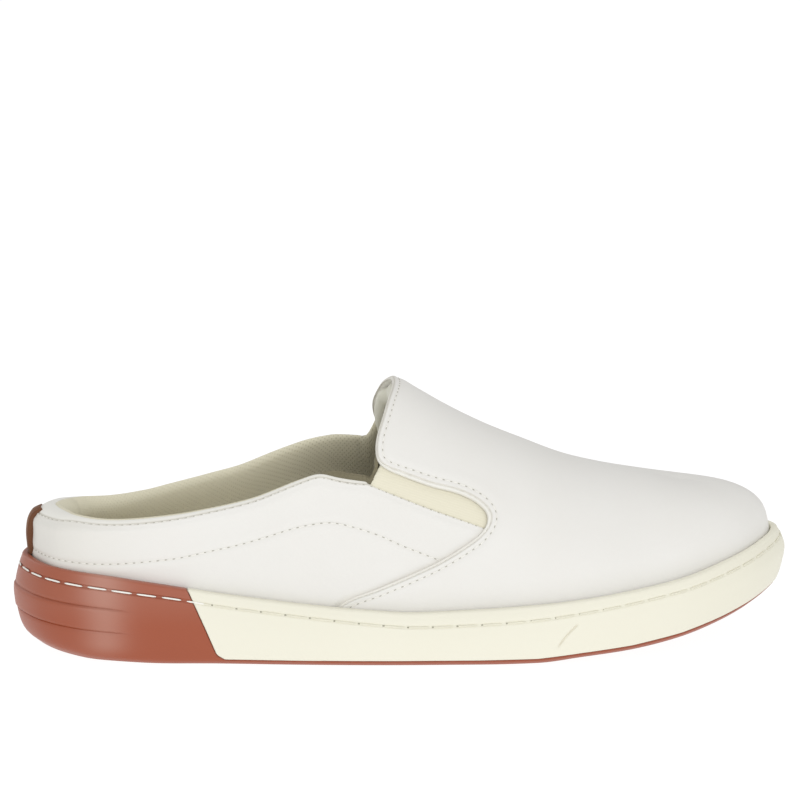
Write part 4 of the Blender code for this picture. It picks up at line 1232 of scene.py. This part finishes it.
def make_tongue():
    """Padded roll under the vamp's top edge, round at the back and creased along its length."""
    guides = np.linspace(TONGUE_START, TONGUE_END, 39)
    arches = arch_rows(guides, TONGUE_FOOT, 56)
    crown = arches.shape[1] // 2
    column = np.arange(arches.shape[1])
    height = arches[6, :, 2] + 2.0
    rear = [np.interp(height, [row.z for row in TONGUE_ROLL], [getattr(row, key) for row in TONGUE_ROLL])
            for key in ("lateral", "medial")]
    rear = smoothed(np.where(column < crown, rear[0], rear[1]), np.ones(7))
    reach = np.concatenate([3.6 * np.linspace(0, 1, 12) ** 1.7, np.linspace(NOSE, 29.0, 30)])
    face = np.stack([points_at(start + reach, guides, arches[:, j]) for j, start in enumerate(rear)], 1)
    normal = unit(np.cross(np.gradient(face, axis=0), np.gradient(face, axis=1)))
    normal *= np.sign(normal[len(reach) // 2, crown, 2])
    # 0 to 1: how far the roll has come out behind the collar's edge, which is read at each height.
    rows = [row for row in COLLAR if row.x > 136]
    throat = [np.interp(face[:, :, 2], [getattr(row, key) for row in rows], [row.x for row in rows])
              for key in ("lateral", "medial")]
    throat = np.where(column <= crown, throat[0], throat[1])
    behind = np.maximum(ramp(throat - face[:, :, 0], 0.4, 2.6), 0.16 * (1 - ramp(reach[:, None], 7.0, 14.0)))
    behind = np.array([smoothed(row, np.hanning(17)) for row in behind])
    across = np.linspace(-1, 1, len(column))[None, :]
    nose = np.sqrt(1 - (1 - np.clip(reach[:, None] / NOSE, 0, 1)) ** 2)
    top, bottom = TONGUE_DEPTH - TONGUE_SWELL * behind, TONGUE_DEPTH + TONGUE_PAD
    slant = reach[:, None] - 5.8 + 8.5 * np.abs(across)
    crease = relief(slant, TONGUE_SWELLS)
    middle, half = (bottom + top) / 2, (bottom - top) / 2 * nose
    outer = face - normal * (middle - half + crease * nose * behind)[:, :, None]
    inner = face - normal * (middle + half)[:, :, None]
    m, n = outer.shape[:2]
    number = np.arange(2 * m * n).reshape(2, m, n)
    faces = []
    for layer, turn in zip(number, (1, -1)):
        quads = np.stack([layer[:-1, :-1], layer[1:, :-1], layer[1:, 1:], layer[:-1, 1:]][::turn], -1)
        faces += [tuple(q) for q in quads.reshape(-1, 4).tolist()]
    front, back = number
    borders = (
        (front[0], back[0]),
        (back[-1], front[-1]),
        (back[:, 0], front[:, 0]),
        (front[:, -1], back[:, -1]),
    )
    for a, b in borders:
        faces += [(int(a[i]), int(a[i + 1]), int(b[i + 1]), int(b[i])) for i in range(len(a) - 1)]
    points = np.concatenate([outer.reshape(-1, 3), inner.reshape(-1, 3)])
    piece = new_piece("tongue_roll", points, faces, TONGUE_LEATHER, sharp=80.0)
    close_up(piece)
    return piece


def close_up(piece, distance=1e-6):
    """Merges doubled points and turns the faces of a closed piece outwards."""
    bm = bmesh.new()
    bm.from_mesh(piece.data)
    bmesh.ops.remove_doubles(bm, verts=bm.verts, dist=distance)
    bmesh.ops.dissolve_degenerate(bm, dist=distance, edges=bm.edges)
    bmesh.ops.recalc_face_normals(bm, faces=bm.faces)
    bm.to_mesh(piece.data)
    bm.free()


# ---------------------------------------------------------------- heel tab and insole
TAB_HALF_WIDTH = 5.0
TAB_THICK = 1.3
TAB_TURN = math.radians(54)     # how far it follows the roll over


def make_heel_tab():
    """Narrow strip up the back of the heel, fuller in the middle, with a scored line beside each edge."""
    stations = ring_span(0.0, 9.0, through_toe=False)
    points, normals, _ = path_grid(stations, run_at_height(RIM - 1.2), RUN_EDGE + ROLL * TAB_TURN, 48)
    across = np.linspace(-1, 1, 29)
    wanted = HEEL_TIP[1] + across * TAB_HALF_WIDTH
    line, out = [], []
    for row, way in zip(points.swapaxes(0, 1), normals.swapaxes(0, 1)):
        order = np.argsort(row[:, 1])
        line.append(points_at(wanted, row[order, 1], row[order]))
        out.append(points_at(wanted, row[order, 1], way[order]))
    line, out = np.stack(line, 1), unit(np.stack(out, 1))
    height = np.linspace(0, 1, line.shape[1])[None, :]
    side = (1 - np.abs(across))[:, None] * TAB_HALF_WIDTH
    skin = grid_skin(line[::-1], out[::-1], side=side, height=height)
    side, height = skin.values["side"], skin.values["height"]
    face = TAB_THICK + 0.9 * bump(height, 0.42, 0.34) - 1.0 * ramp(height, 0.80, 1.0) - fold(side, 0.9)
    face -= 0.3 * bump(side, 2.2, 0.6)
    skin.values["seam"] = 0.75 * ramp(side, 1.2, 2.4) * bump(height, 0.6, 0.3)
    return lifted_piece("heel_tab_leather", skin, face, TAB_THICK, TAB_LEATHER, marks=("seam",))


INSOLE_CLEARANCE = 0.35         # from the lining to the footbed's border
COVER_THICK = 3.0


def make_insole_cover():
    """Footbed: a shallow heel seat, a rise under the arch and a soft border against the lining."""
    ring = inset_points(shell_inset(RING_X) + shell_wall() + INSOLE_CLEARANCE)
    lateral, medial = ring[:LAST + 1], ring[[mirrored(k) for k in range(LAST + 1)]]
    share = (1 - np.cos(np.linspace(0, math.pi, 41))) / 2
    flat = lateral[:, None] * (1 - share[None, :, None]) + medial[:, None] * share[None, :, None]
    border = np.minimum(share, 1 - share)[None, :] * np.linalg.norm(medial - lateral, axis=1)[:, None]
    x = flat[:, :, 0]
    z = read(SOLE_SIDE, "floor", x, even=True) + FLOOR_CLEARANCE + INSOLE_THICK
    z += 1.1 * (1 - ramp(border, 0.0, 9.0))
    z += 1.4 * bump(x, 118.0, 34.0) * ramp(share[None, :], 0.55, 1.0) - 0.9 * bump(x, 44.0, 26.0)
    points = np.dstack([flat, z])
    normals = np.zeros(points.shape)
    normals[:, :, 2] = 1.0
    skin = grid_skin(points[::-1], normals, along=x[::-1], across=flat[::-1, :, 1])
    return lifted_piece("insole_cover", skin, 0.0, COVER_THICK, INSOLE_CLOTH, uv=("along", "across"))


# ---------------------------------------------------------------- sole
HEEL_LINES = (0.435, 0.745)     # two lines round the heel: shares of the height from ground to stitch groove
HEEL_BAND_PROUD = 0.45          # how far the band between them stands out
HEEL_LINE_DEPTH = 0.4
HALF_LINE = 0.6                 # half the height that the points of such a line take
EITHER_SIDE = (-0.6, -0.4, -0.2, 0.0, 0.2, 0.4, 0.6)    # where those points lie
HALF_GROOVE = 1.1               # the same for the stitched groove
IN_CREAM = ramp(RING_X, 60.0, 68.0)     # 0 in the terracotta heel, 1 in the cream sidewall
GROOVE_DEPTH = 0.75 - 0.4 * IN_CREAM
SPLIT_X = 69.0                  # the stitched groove passes from terracotta to cream
HALF_JOINT = 0.08               # half the gap between cream and terracotta
CREAM_PROUD = 0.12              # how far the cream wall stands out past the terracotta
NOTCH_DEPTH = 0.4
WALL_THICK, LIP_THICK = 2.2, 0.7
LIP_ROW = 44                    # past this row of points the wall is as thin as its lip
HEEL_SHARE = 1 - ramp(RING_X, 0.0, HEEL_ROUND_END)
TOE_SHARE = ramp(RING_X, TOE_ROUND_START, LENGTH)


def sidewall_curves(samples=81):
    """Insets and heights of the sidewall's smooth profile at every station."""
    insets, heights = [], []
    for row in SIDEWALL:
        inset = row.side + HEEL_SHARE * (row.heel - row.side) + TOE_SHARE * (row.toe - row.side)
        x = inset_points(inset)[:, 0]
        ground, rim = (read(SOLE_SIDE, column, x, even=True) for column in ("ground", "rim"))
        insets.append(inset)
        heights.append(ground + row.rise * (rim - ground) + row.lift + HEEL_SHARE * row.heel_lift)
    insets, heights = np.array(insets), np.array(heights)
    place, at = np.arange(len(SIDEWALL), dtype=float), np.linspace(0, len(SIDEWALL) - 1, samples)
    smooth = [[hermite(place, column, even_slopes(place, column), at) for column in values.T]
              for values in (insets, heights)]
    return np.array(smooth[0]), np.array(smooth[1])


WALL_INSETS, WALL_HEIGHTS = sidewall_curves()
GROOVE_Z = RIM - read(GROOVE, "drop", RING_X, even=True)


def wall_inset_at(z):
    """How far inside the footprint's edge the sidewall lies, at one height per station."""
    return np.array([np.interp(z[k], WALL_HEIGHTS[k], WALL_INSETS[k]) for k in range(RING)])


def between(start, end, shares):
    """Values at shares of the way from start to end."""
    return [start + (end - start) * share for share in shares]


def sole_rows():
    """Rings of insets and heights from the underside up the wall, over the lip and down inside."""
    ground = WALL_HEIGHTS[:, 0]
    low, high = (ground + share * (GROOVE_Z - ground) for share in HEEL_LINES)
    wall = CUP_WALL + HEEL_LIP * (1 - ramp(RING_X, *HEEL_END)) + TOE_LIP * ramp(RING_X, 262.0, 292.0)
    radius = np.minimum(1.15, 0.42 * (wall - wall_inset_at(RIM - 2.0)))
    top = RIM - 1.35 - radius
    heights = between(ground, low - HALF_LINE, np.linspace(0, 1, 11)[:-1] ** 1.4)
    heights += [low + lift for lift in EITHER_SIDE]
    heights += between(low + HALF_LINE, high - HALF_LINE, np.linspace(0, 1, 9)[1:-1])
    heights += [high + lift for lift in EITHER_SIDE]
    heights += between(high + HALF_LINE, GROOVE_Z - HALF_GROOVE, np.linspace(0, 1, 6)[1:-1])
    heights += [GROOVE_Z + lift for lift in np.linspace(-HALF_GROOVE, HALF_GROOVE, 12)]
    heights += between(GROOVE_Z + HALF_GROOVE, top, np.linspace(0, 1, 5)[1:])
    fade = 1 - ramp(RING_X, 34.0, 48.0)
    rows = []
    for z in heights:
        band = ramp(z - low, -0.2, 0.2) * (1 - ramp(z - high, -0.2, 0.2))
        line = sum(1 - ramp(np.abs(z - level), 0.1, 0.55) for level in (low, high))
        groove = GROOVE_DEPTH * (1 - ramp(np.abs(z - GROOVE_Z), 0.25, 0.95))
        heel_relief = fade * (HEEL_LINE_DEPTH * line - HEEL_BAND_PROUD * band)
        rows.append((wall_inset_at(z) + heel_relief + groove, z))
    outer = rows[-1][0]
    for turn in np.radians((18, 36, 54, 72, 90)):
        rows.append((outer + radius * (1 - math.cos(turn)), top + radius * math.sin(turn)))
    for turn in np.radians((0, 22, 45, 67, 90)):
        rows.append((wall - 0.75 * radius * (1 - math.sin(turn)),
                     top + radius - 0.75 * radius * (1 - math.cos(turn))))
    floor = read(SOLE_SIDE, "floor", inset_points(wall)[:, 0], even=True)
    for share in (0.35, 0.7, 1.0):
        rows.append((wall + 0.05 * share, rows[-1][1] * (1 - share) + floor * share))
    return rows


def sheet_line():
    """Side view of the joint: down the slant behind the cream cup, then along its underside."""
    low = [(row.x, row.ground + OUTSOLE_SHEET) for row in SOLE_SIDE if row.x > 90]
    return np.array([tuple(p) for p in BREAK_LINE] + low + [(LENGTH + 20, low[-1][1] + 2.0)])


def sole_skin():
    """Surface of the whole sole, with its row numbers and the distances from the joint and the notch."""
    rows = sole_rows()
    points = np.stack([np.column_stack([inset_points(inset), z]) for inset, z in rows], 1)
    normals = grid_normals(points)
    skin = grid_skin(points[WHOLE_RING], normals[WHOLE_RING], row=np.arange(len(rows))[None, :])
    base, share = points[:, 0], np.linspace(0, 1, 9)[:, None]
    under = np.array([base[k] * (1 - share) + base[mirrored(k)] * share for k in range(LAST + 1)])
    down = np.zeros(under.shape)
    down[:, :, 2] = -1.0
    skin = join_skins(skin, grid_skin(under, down, row=np.zeros((1, 1))))
    skin.values["sheet"] = -side_distance(skin.points, sheet_line(), shifted=False)
    skin.values["mark"] = side_distance(skin.points, smooth_line(MOULD_MARK), shifted=False)
    return skin


def sole_piece(name, skin, material, cream):
    """Cream cup on one side of the slanted joint, or terracotta sole on the other."""
    if cream:
        part = cut_at(keep(skin, "sheet", low=HALF_JOINT), "sheet", 0.3, 0.6)
        part = cut_at(part, "mark", -0.5, -0.2, 0.2, 0.5)
    else:
        part = cut_at(keep(skin, "sheet", high=-HALF_JOINT), "sheet", -0.3, -0.6)
    x, y, z = part.points.T
    row = part.values["row"]
    on_wall = row > 0
    notch = (y < 0) * ramp(z, MOULD_MARK[0].z, MOULD_MARK[0].z + 1.0)
    notch *= on_wall * (1 - ramp(z, MOULD_MARK[-1].z - 1.0, MOULD_MARK[-1].z))
    notch = notch * (1 - ramp(np.abs(part.values["mark"]), 0.15, 0.5))
    inside = np.abs(part.values["sheet"]) - HALF_JOINT
    face = (CREAM_PROUD if cream else 0.0) - fold(inside, 0.35) - NOTCH_DEPTH * notch
    # Painted shade in the joint between cream and terracotta and in the mould notch.
    part.values["seam"] = 0.5 * bump(inside, 0.0, 0.25) + 0.5 * notch
    # Painted highlight: a pale band round the heel about 34 mm from its back, and the upper wall paler.
    painted_highlight = 0.5 * bump(x, 34.0, 8.0) * ramp(z, 1.0, 9.0) + 0.13 * ramp(z, 14.0, 28.0)
    part.values["painted_highlight"] = painted_highlight * on_wall
    thick = np.where(row > LIP_ROW, LIP_THICK, WALL_THICK)
    return lifted_piece(name, part, face, thick, material, marks=("seam", "painted_highlight"), sharp=50.0)


def box_cutter(name, low, high):
    """Mesh of a box between two corners."""
    mesh = bpy.data.meshes.new(name)
    bm = bmesh.new()
    bmesh.ops.create_cube(bm, size=1.0)
    low, high = world(low), world(high)
    for vertex in bm.verts:
        vertex.co = [low[i] if vertex.co[i] < 0 else high[i] for i in range(3)]
    bmesh.ops.recalc_face_normals(bm, faces=bm.faces)
    bm.to_mesh(mesh)
    bm.free()
    return mesh


def tread_cutters():
    """Meshes of the slots across the tread."""
    return [box_cutter(f"tread_{i}", (slot.x, -slot.lateral, -1.0),
                       (slot.x + SLOT_WIDTH, slot.medial, SLOT_DEPTH)) for i, slot in enumerate(TREAD)]


def cut_away(piece, meshes):
    """Cuts boxes out of a closed piece for good."""
    for mesh in meshes:
        cutter = add_object(mesh.name, mesh)
        modifier = piece.modifiers.new("cut", "BOOLEAN")
        modifier.operation = "DIFFERENCE"
        modifier.solver = "EXACT"
        modifier.object = cutter
        cut = bake(piece, modifier)
        cut.materials.clear()
        cut.materials.append(piece.data.materials[0])
        piece.data = cut
        bpy.data.objects.remove(cutter)


# ---------------------------------------------------------------- stitches
STITCH_INPUTS = (
    ("Geometry", "Geometry", None),
    ("Pitch", "Float", 0.003),
    ("Length", "Float", 0.002),
    ("Radius", "Float", 0.0003),
    ("Start", "Float", 0.0),
    ("Seed", "Int", 3),
    ("Material", "Material", None),
)


def stitch_tree():
    """Repeats a small capsule along a line: a thread, or a dark capsule of painted shade for the hole between
    two threads.
    """
    tree = bpy.data.node_groups.new("stitch_row", "GeometryNodeTree")
    for label, kind, default in STITCH_INPUTS:
        socket = tree.interface.new_socket(name=label, in_out="INPUT", socket_type=f"NodeSocket{kind}")
        if default is not None:
            socket.default_value = default
    tree.interface.new_socket(name="Geometry", in_out="OUTPUT", socket_type="NodeSocketGeometry")
    start = add_node(tree, "NodeGroupInput").outputs
    end = add_node(tree, "NodeGroupOutput")
    # Places along the line, one pitch apart.
    curve = add_node(tree, "GeometryNodeMeshToCurve", {"Mesh": start["Geometry"]})
    trim = add_node(tree, "GeometryNodeTrimCurve", {
        "Curve": curve.outputs["Curve"], 4: start["Start"], 5: 10.0}, mode="LENGTH")
    resample = add_node(tree, "GeometryNodeResampleCurve", {
        "Curve": trim.outputs["Curve"], "Length": start["Pitch"]}, mode="LENGTH")
    tangent = add_node(tree, "GeometryNodeInputTangent")
    align = add_node(tree, "FunctionNodeAlignRotationToVector", {"Vector": tangent.outputs[0]}, axis="Z")
    # One capsule, standing on its middle.
    half_back = math_node(tree, "MULTIPLY", start["Length"], -0.5)
    foot = add_node(tree, "ShaderNodeCombineXYZ", {"Z": half_back})
    line = add_node(tree, "GeometryNodeCurvePrimitiveLine", {
        "Direction": (0.0, 0.0, 1.0), "Length": start["Length"], "Start": foot.outputs[0]}, mode="DIRECTION")
    rings = add_node(tree, "GeometryNodeResampleCurve", {
        "Curve": line.outputs["Curve"], "Count": 9}, mode="COUNT")
    factor = add_node(tree, "GeometryNodeSplineParameter")
    profile = add_node(tree, "ShaderNodeFloatCurve", {"Value": factor.outputs["Factor"]})
    curve_map = profile.mapping.curves[0]
    curve_map.points[0].location = (0.0, 0.45)
    curve_map.points[1].location = (1.0, 0.45)
    for at, high in ((0.08, 0.9), (0.3, 1.0), (0.7, 1.0), (0.92, 0.9)):
        curve_map.points.new(at, high)
    profile.mapping.update()
    thick = add_node(tree, "GeometryNodeSetCurveRadius", {
        "Curve": rings.outputs["Curve"], "Radius": profile.outputs[0]})
    circle = add_node(tree, "GeometryNodeCurvePrimitiveCircle", {"Resolution": 7, "Radius": start["Radius"]})
    tube = add_node(tree, "GeometryNodeCurveToMesh", {
        "Fill Caps": True, "Curve": thick.outputs["Curve"], "Profile Curve": circle.outputs["Curve"]})
    if "Scale" in tube.inputs:
        connect(tree, tube, {"Scale": add_node(tree, "GeometryNodeInputRadius").outputs[0]})
    # A capsule at every place, its size a little uneven.
    wobble = add_node(tree, "FunctionNodeRandomValue", {
        2: 0.94, 3: 1.05, "Seed": start["Seed"]}, data_type="FLOAT")
    spread = add_node(tree, "GeometryNodeInstanceOnPoints", {
        "Points": resample.outputs["Curve"], "Instance": tube.outputs["Mesh"],
        "Rotation": align.outputs["Rotation"], "Scale": wobble.outputs[1]})
    real = add_node(tree, "GeometryNodeRealizeInstances", {"Geometry": spread.outputs["Instances"]})
    smooth = add_node(tree, "GeometryNodeSetShadeSmooth", {"Geometry": real.outputs["Geometry"]})
    paint = add_node(tree, "GeometryNodeSetMaterial", {
        "Geometry": smooth.outputs["Geometry"], "Material": start["Material"]})
    connect(tree, end, {"Geometry": paint.outputs["Geometry"]})
    return tree


STITCHES = stitch_tree()


def stitch_piece(name, lines, material, seed, **sizes):
    """Runs the stitch tree along lines given in millimetres; sizes are in millimetres too."""
    points = np.concatenate(lines)
    edges, count = [], 0
    for line in lines:
        edges += [(count + i, count + i + 1) for i in range(len(line) - 1)]
        count += len(line)
    mesh = bpy.data.meshes.new(name + "_line")
    mesh.from_pydata(world(points).tolist(), edges, [])
    piece = add_object(name, mesh)
    modifier = piece.modifiers.new("stitches", "NODES")
    modifier.node_group = STITCHES
    values = {key.title(): value * MM for key, value in sizes.items()}
    values.update({"Seed": seed, "Material": material})
    for item in STITCHES.interface.items_tree:
        if item.in_out == "INPUT" and item.name in values:
            modifier[item.identifier] = values[item.name]
    piece.data = bake(piece, modifier)
    close_up(piece, 1e-7)
    return piece


def lifted(line, height):
    """Points of a line, moved outwards along the directions it carries."""
    return line[:, :3] + line[:, 3:] * height


def groove_line(low_x, high_x, through_toe):
    """Line along the stitched groove for its thread, less sunk where the sole is cream."""
    sunk = 0.14 + 0.2 * (1 - IN_CREAM)
    points = np.column_stack([inset_points(wall_inset_at(GROOVE_Z) + sunk), GROOVE_Z])
    return points[ring_span(low_x, high_x, through_toe)]


# Sizes of thread and hole capsules, their materials, and where the row starts; the hole capsules' dark
# material is painted shade.
StitchRow = namedtuple("StitchRow", "name lines thread hole yarn dark start")


def stitch_rows(quarter_skin, vamp_skin):
    """All the rows: a piece of thread and a piece of dark capsules, painted shade for the needle holes, for
    each.
    """
    round_heel = [groove_line(0.0, SPLIT_X, through_toe=False)]
    round_toe = [groove_line(SPLIT_X, LENGTH, through_toe=True)]
    rows = [
        StitchRow("heel", round_heel, dict(pitch=9.3, length=7.5, radius=0.37), dict(length=1.7, radius=0.3),
                  THREAD, HEEL_HOLE_SHADE, start=2.4),
        StitchRow("sole", round_toe, dict(pitch=9.3, length=7.9, radius=0.34), dict(length=0.8, radius=0.27),
                  CREAM_THREAD, CREAM_HOLE_SHADE, start=0.0),
    ]
    visible = keep(quarter_skin, "vamp", high=-0.3)
    for name, skin, key, level, radius in (("quarter", visible, "row", 0.0, 0.17),
                                           ("collar", visible, "top", COLLAR_ROW, 0.11),
                                           ("vamp", vamp_skin, "inner", VAMP_ROW, 0.17)):
        lines = [lifted(line, 0.03) for line in lines_at(skin, key, level)[:1]]
        rows.append(StitchRow(name, lines, dict(pitch=3.04, length=2.1, radius=radius),
                              dict(length=1.0, radius=radius + 0.02), THREAD, LEATHER_HOLE_SHADE, start=0.0))
    pieces = []
    for seed, row in enumerate(rows):
        pitch = row.thread["pitch"]
        pieces.append(stitch_piece(f"{row.name}_stitches", row.lines, row.yarn, seed,
                                   start=row.start, **row.thread))
        pieces.append(stitch_piece(f"{row.name}_painted_hole_shade", row.lines, row.dark, seed,
                                   start=row.start + pitch / 2, pitch=pitch, **row.hole))
    return pieces


# ---------------------------------------------------------------- building it
quarters, quarter_skin = make_quarters()
binding = make_collar_binding()
lining = make_lining()
vamp, vamp_binding, vamp_skin = make_vamp()
gores = [make_gore("gore_elastic_lateral", -1), make_gore("gore_elastic_medial", 1)]
tongue = make_tongue()
heel_tab = make_heel_tab()
insole = make_insole_cover()
whole_sole = sole_skin()
cream_cup = sole_piece("cream_cup", whole_sole, CREAM_RUBBER, cream=True)
terracotta_sole = sole_piece("terracotta_sole", whole_sole, TERRACOTTA, cream=False)
cut_away(terracotta_sole, tread_cutters())
stitches = stitch_rows(quarter_skin, vamp_skin)

# ---------------------------------------------------------------- joining the frame
STANDS_FOR = (
    (quarters, "upper", "white_leather"),
    (vamp, "vamp", "white_leather"),
    (gores[0], "gore_lateral", "elastic"),
    (gores[1], "gore_medial", "elastic"),
    (tongue, "tongue", "tongue_leather"),
    (heel_tab, "heel_tab", "brown_leather"),
    (insole, "insole", "lining_knit"),
    (cream_cup, "midsole", "cream_rubber"),
    (terracotta_sole, "outsole", "terracotta_rubber"),
)
for piece, node_name, slot_name in STANDS_FOR:
    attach(piece, "root")
    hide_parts(node_name)
COVERS_ONLY = (
    (binding, "white_leather"),
    (vamp_binding, "white_leather"),
    (lining, "lining_knit"),
)
for piece, slot_name in COVERS_ONLY:
    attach(piece, "root")
for piece in stitches:
    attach(piece, "root")


# ---------------------------------------------------------------- studio
FLOOR_HALF = 9.0
WHITE_LIGHT = (1.0, 1.0, 1.0, 1.0)
Softbox = namedtuple("Softbox", "name place aim size energy")
SOFTBOXES = (
    Softbox("front_softbox", (0.6, -1.7, 0.6), (0.0, 0.0, 0.03), (1.6, 1.0), 9.0),
    Softbox("top_softbox", (0.25, 0.1, 1.8), (0.0, 0.0, 0.0), (1.7, 1.2), 8.0),
    Softbox("heel_softbox", (-1.05, -1.4, 0.42), (-0.1, 0.0, 0.03), (0.4, 0.7), 4.0),
    Softbox("back_softbox", (-1.3, 1.2, 0.7), (0.0, 0.0, 0.05), (1.0, 0.8), 2.5),
)
AIM = Vector((-0.0015, 0.0, 0.040))     # the camera stands on a line through this point
CAMERA_TURN = math.radians(-5.0)        # round the shoe from its lateral side
CAMERA_DISTANCE, CAMERA_RISE = 1.735, math.radians(12.5)
CAMERA_PITCH = math.radians(10.734)     # it looks down by this, so a little over that point


def make_studio():
    """White floor, white surroundings and four softboxes."""
    mesh = bpy.data.meshes.new("floor")
    corners = [(x * FLOOR_HALF, y * FLOOR_HALF, 0) for x, y in ((-1, -1), (1, -1), (1, 1), (-1, 1))]
    mesh.from_pydata(corners, [], [(0, 1, 2, 3)])
    paper = bpy.data.materials.new("white_paper")
    paper.use_nodes = True
    connect(paper.node_tree, paper.node_tree.nodes["Principled BSDF"], {
        "Base Color": (0.12, 0.12, 0.12, 1.0), "Roughness": 0.9, "Specular IOR Level": 0.0,
        "Emission Color": WHITE_LIGHT, "Emission Strength": 0.97})
    mesh.materials.append(paper)
    floor = add_object("floor", mesh)
    floor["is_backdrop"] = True
    world_light = bpy.data.worlds.new("studio")
    bpy.context.scene.world = world_light
    world_light.use_nodes = True
    sky = world_light.node_tree
    connect(sky, sky.nodes["Background"], {"Color": WHITE_LIGHT, "Strength": 0.55})
    for box in SOFTBOXES:
        lamp = bpy.data.lights.new(box.name, "AREA")
        lamp.shape = "RECTANGLE"
        lamp.size, lamp.size_y = box.size
        lamp.energy = box.energy
        light = add_object(box.name, lamp)
        light.location = box.place
        from_aim = Vector(box.place) - Vector(box.aim)
        light.rotation_euler = from_aim.to_track_quat("Z", "Y").to_euler()


def make_camera():
    """Long lens a little above the lateral side, aimed slightly over the shoe."""
    data = bpy.data.cameras.new("camera")
    data.lens, data.sensor_width, data.clip_end = 200.0, 36.0, 60.0
    camera = add_object("camera", data)

    def away(rise):
        """Direction from the shoe to the camera at an angle above the floor."""
        flat = math.cos(rise)
        return Vector((math.sin(CAMERA_TURN) * flat, -math.cos(CAMERA_TURN) * flat, math.sin(rise)))

    camera.location = AIM + away(CAMERA_RISE) * CAMERA_DISTANCE
    camera.rotation_euler = away(CAMERA_PITCH).to_track_quat("Z", "Y").to_euler()
    bpy.context.scene.camera = camera


make_studio()
make_camera()
bpy.context.scene.view_settings.view_transform = "Standard"
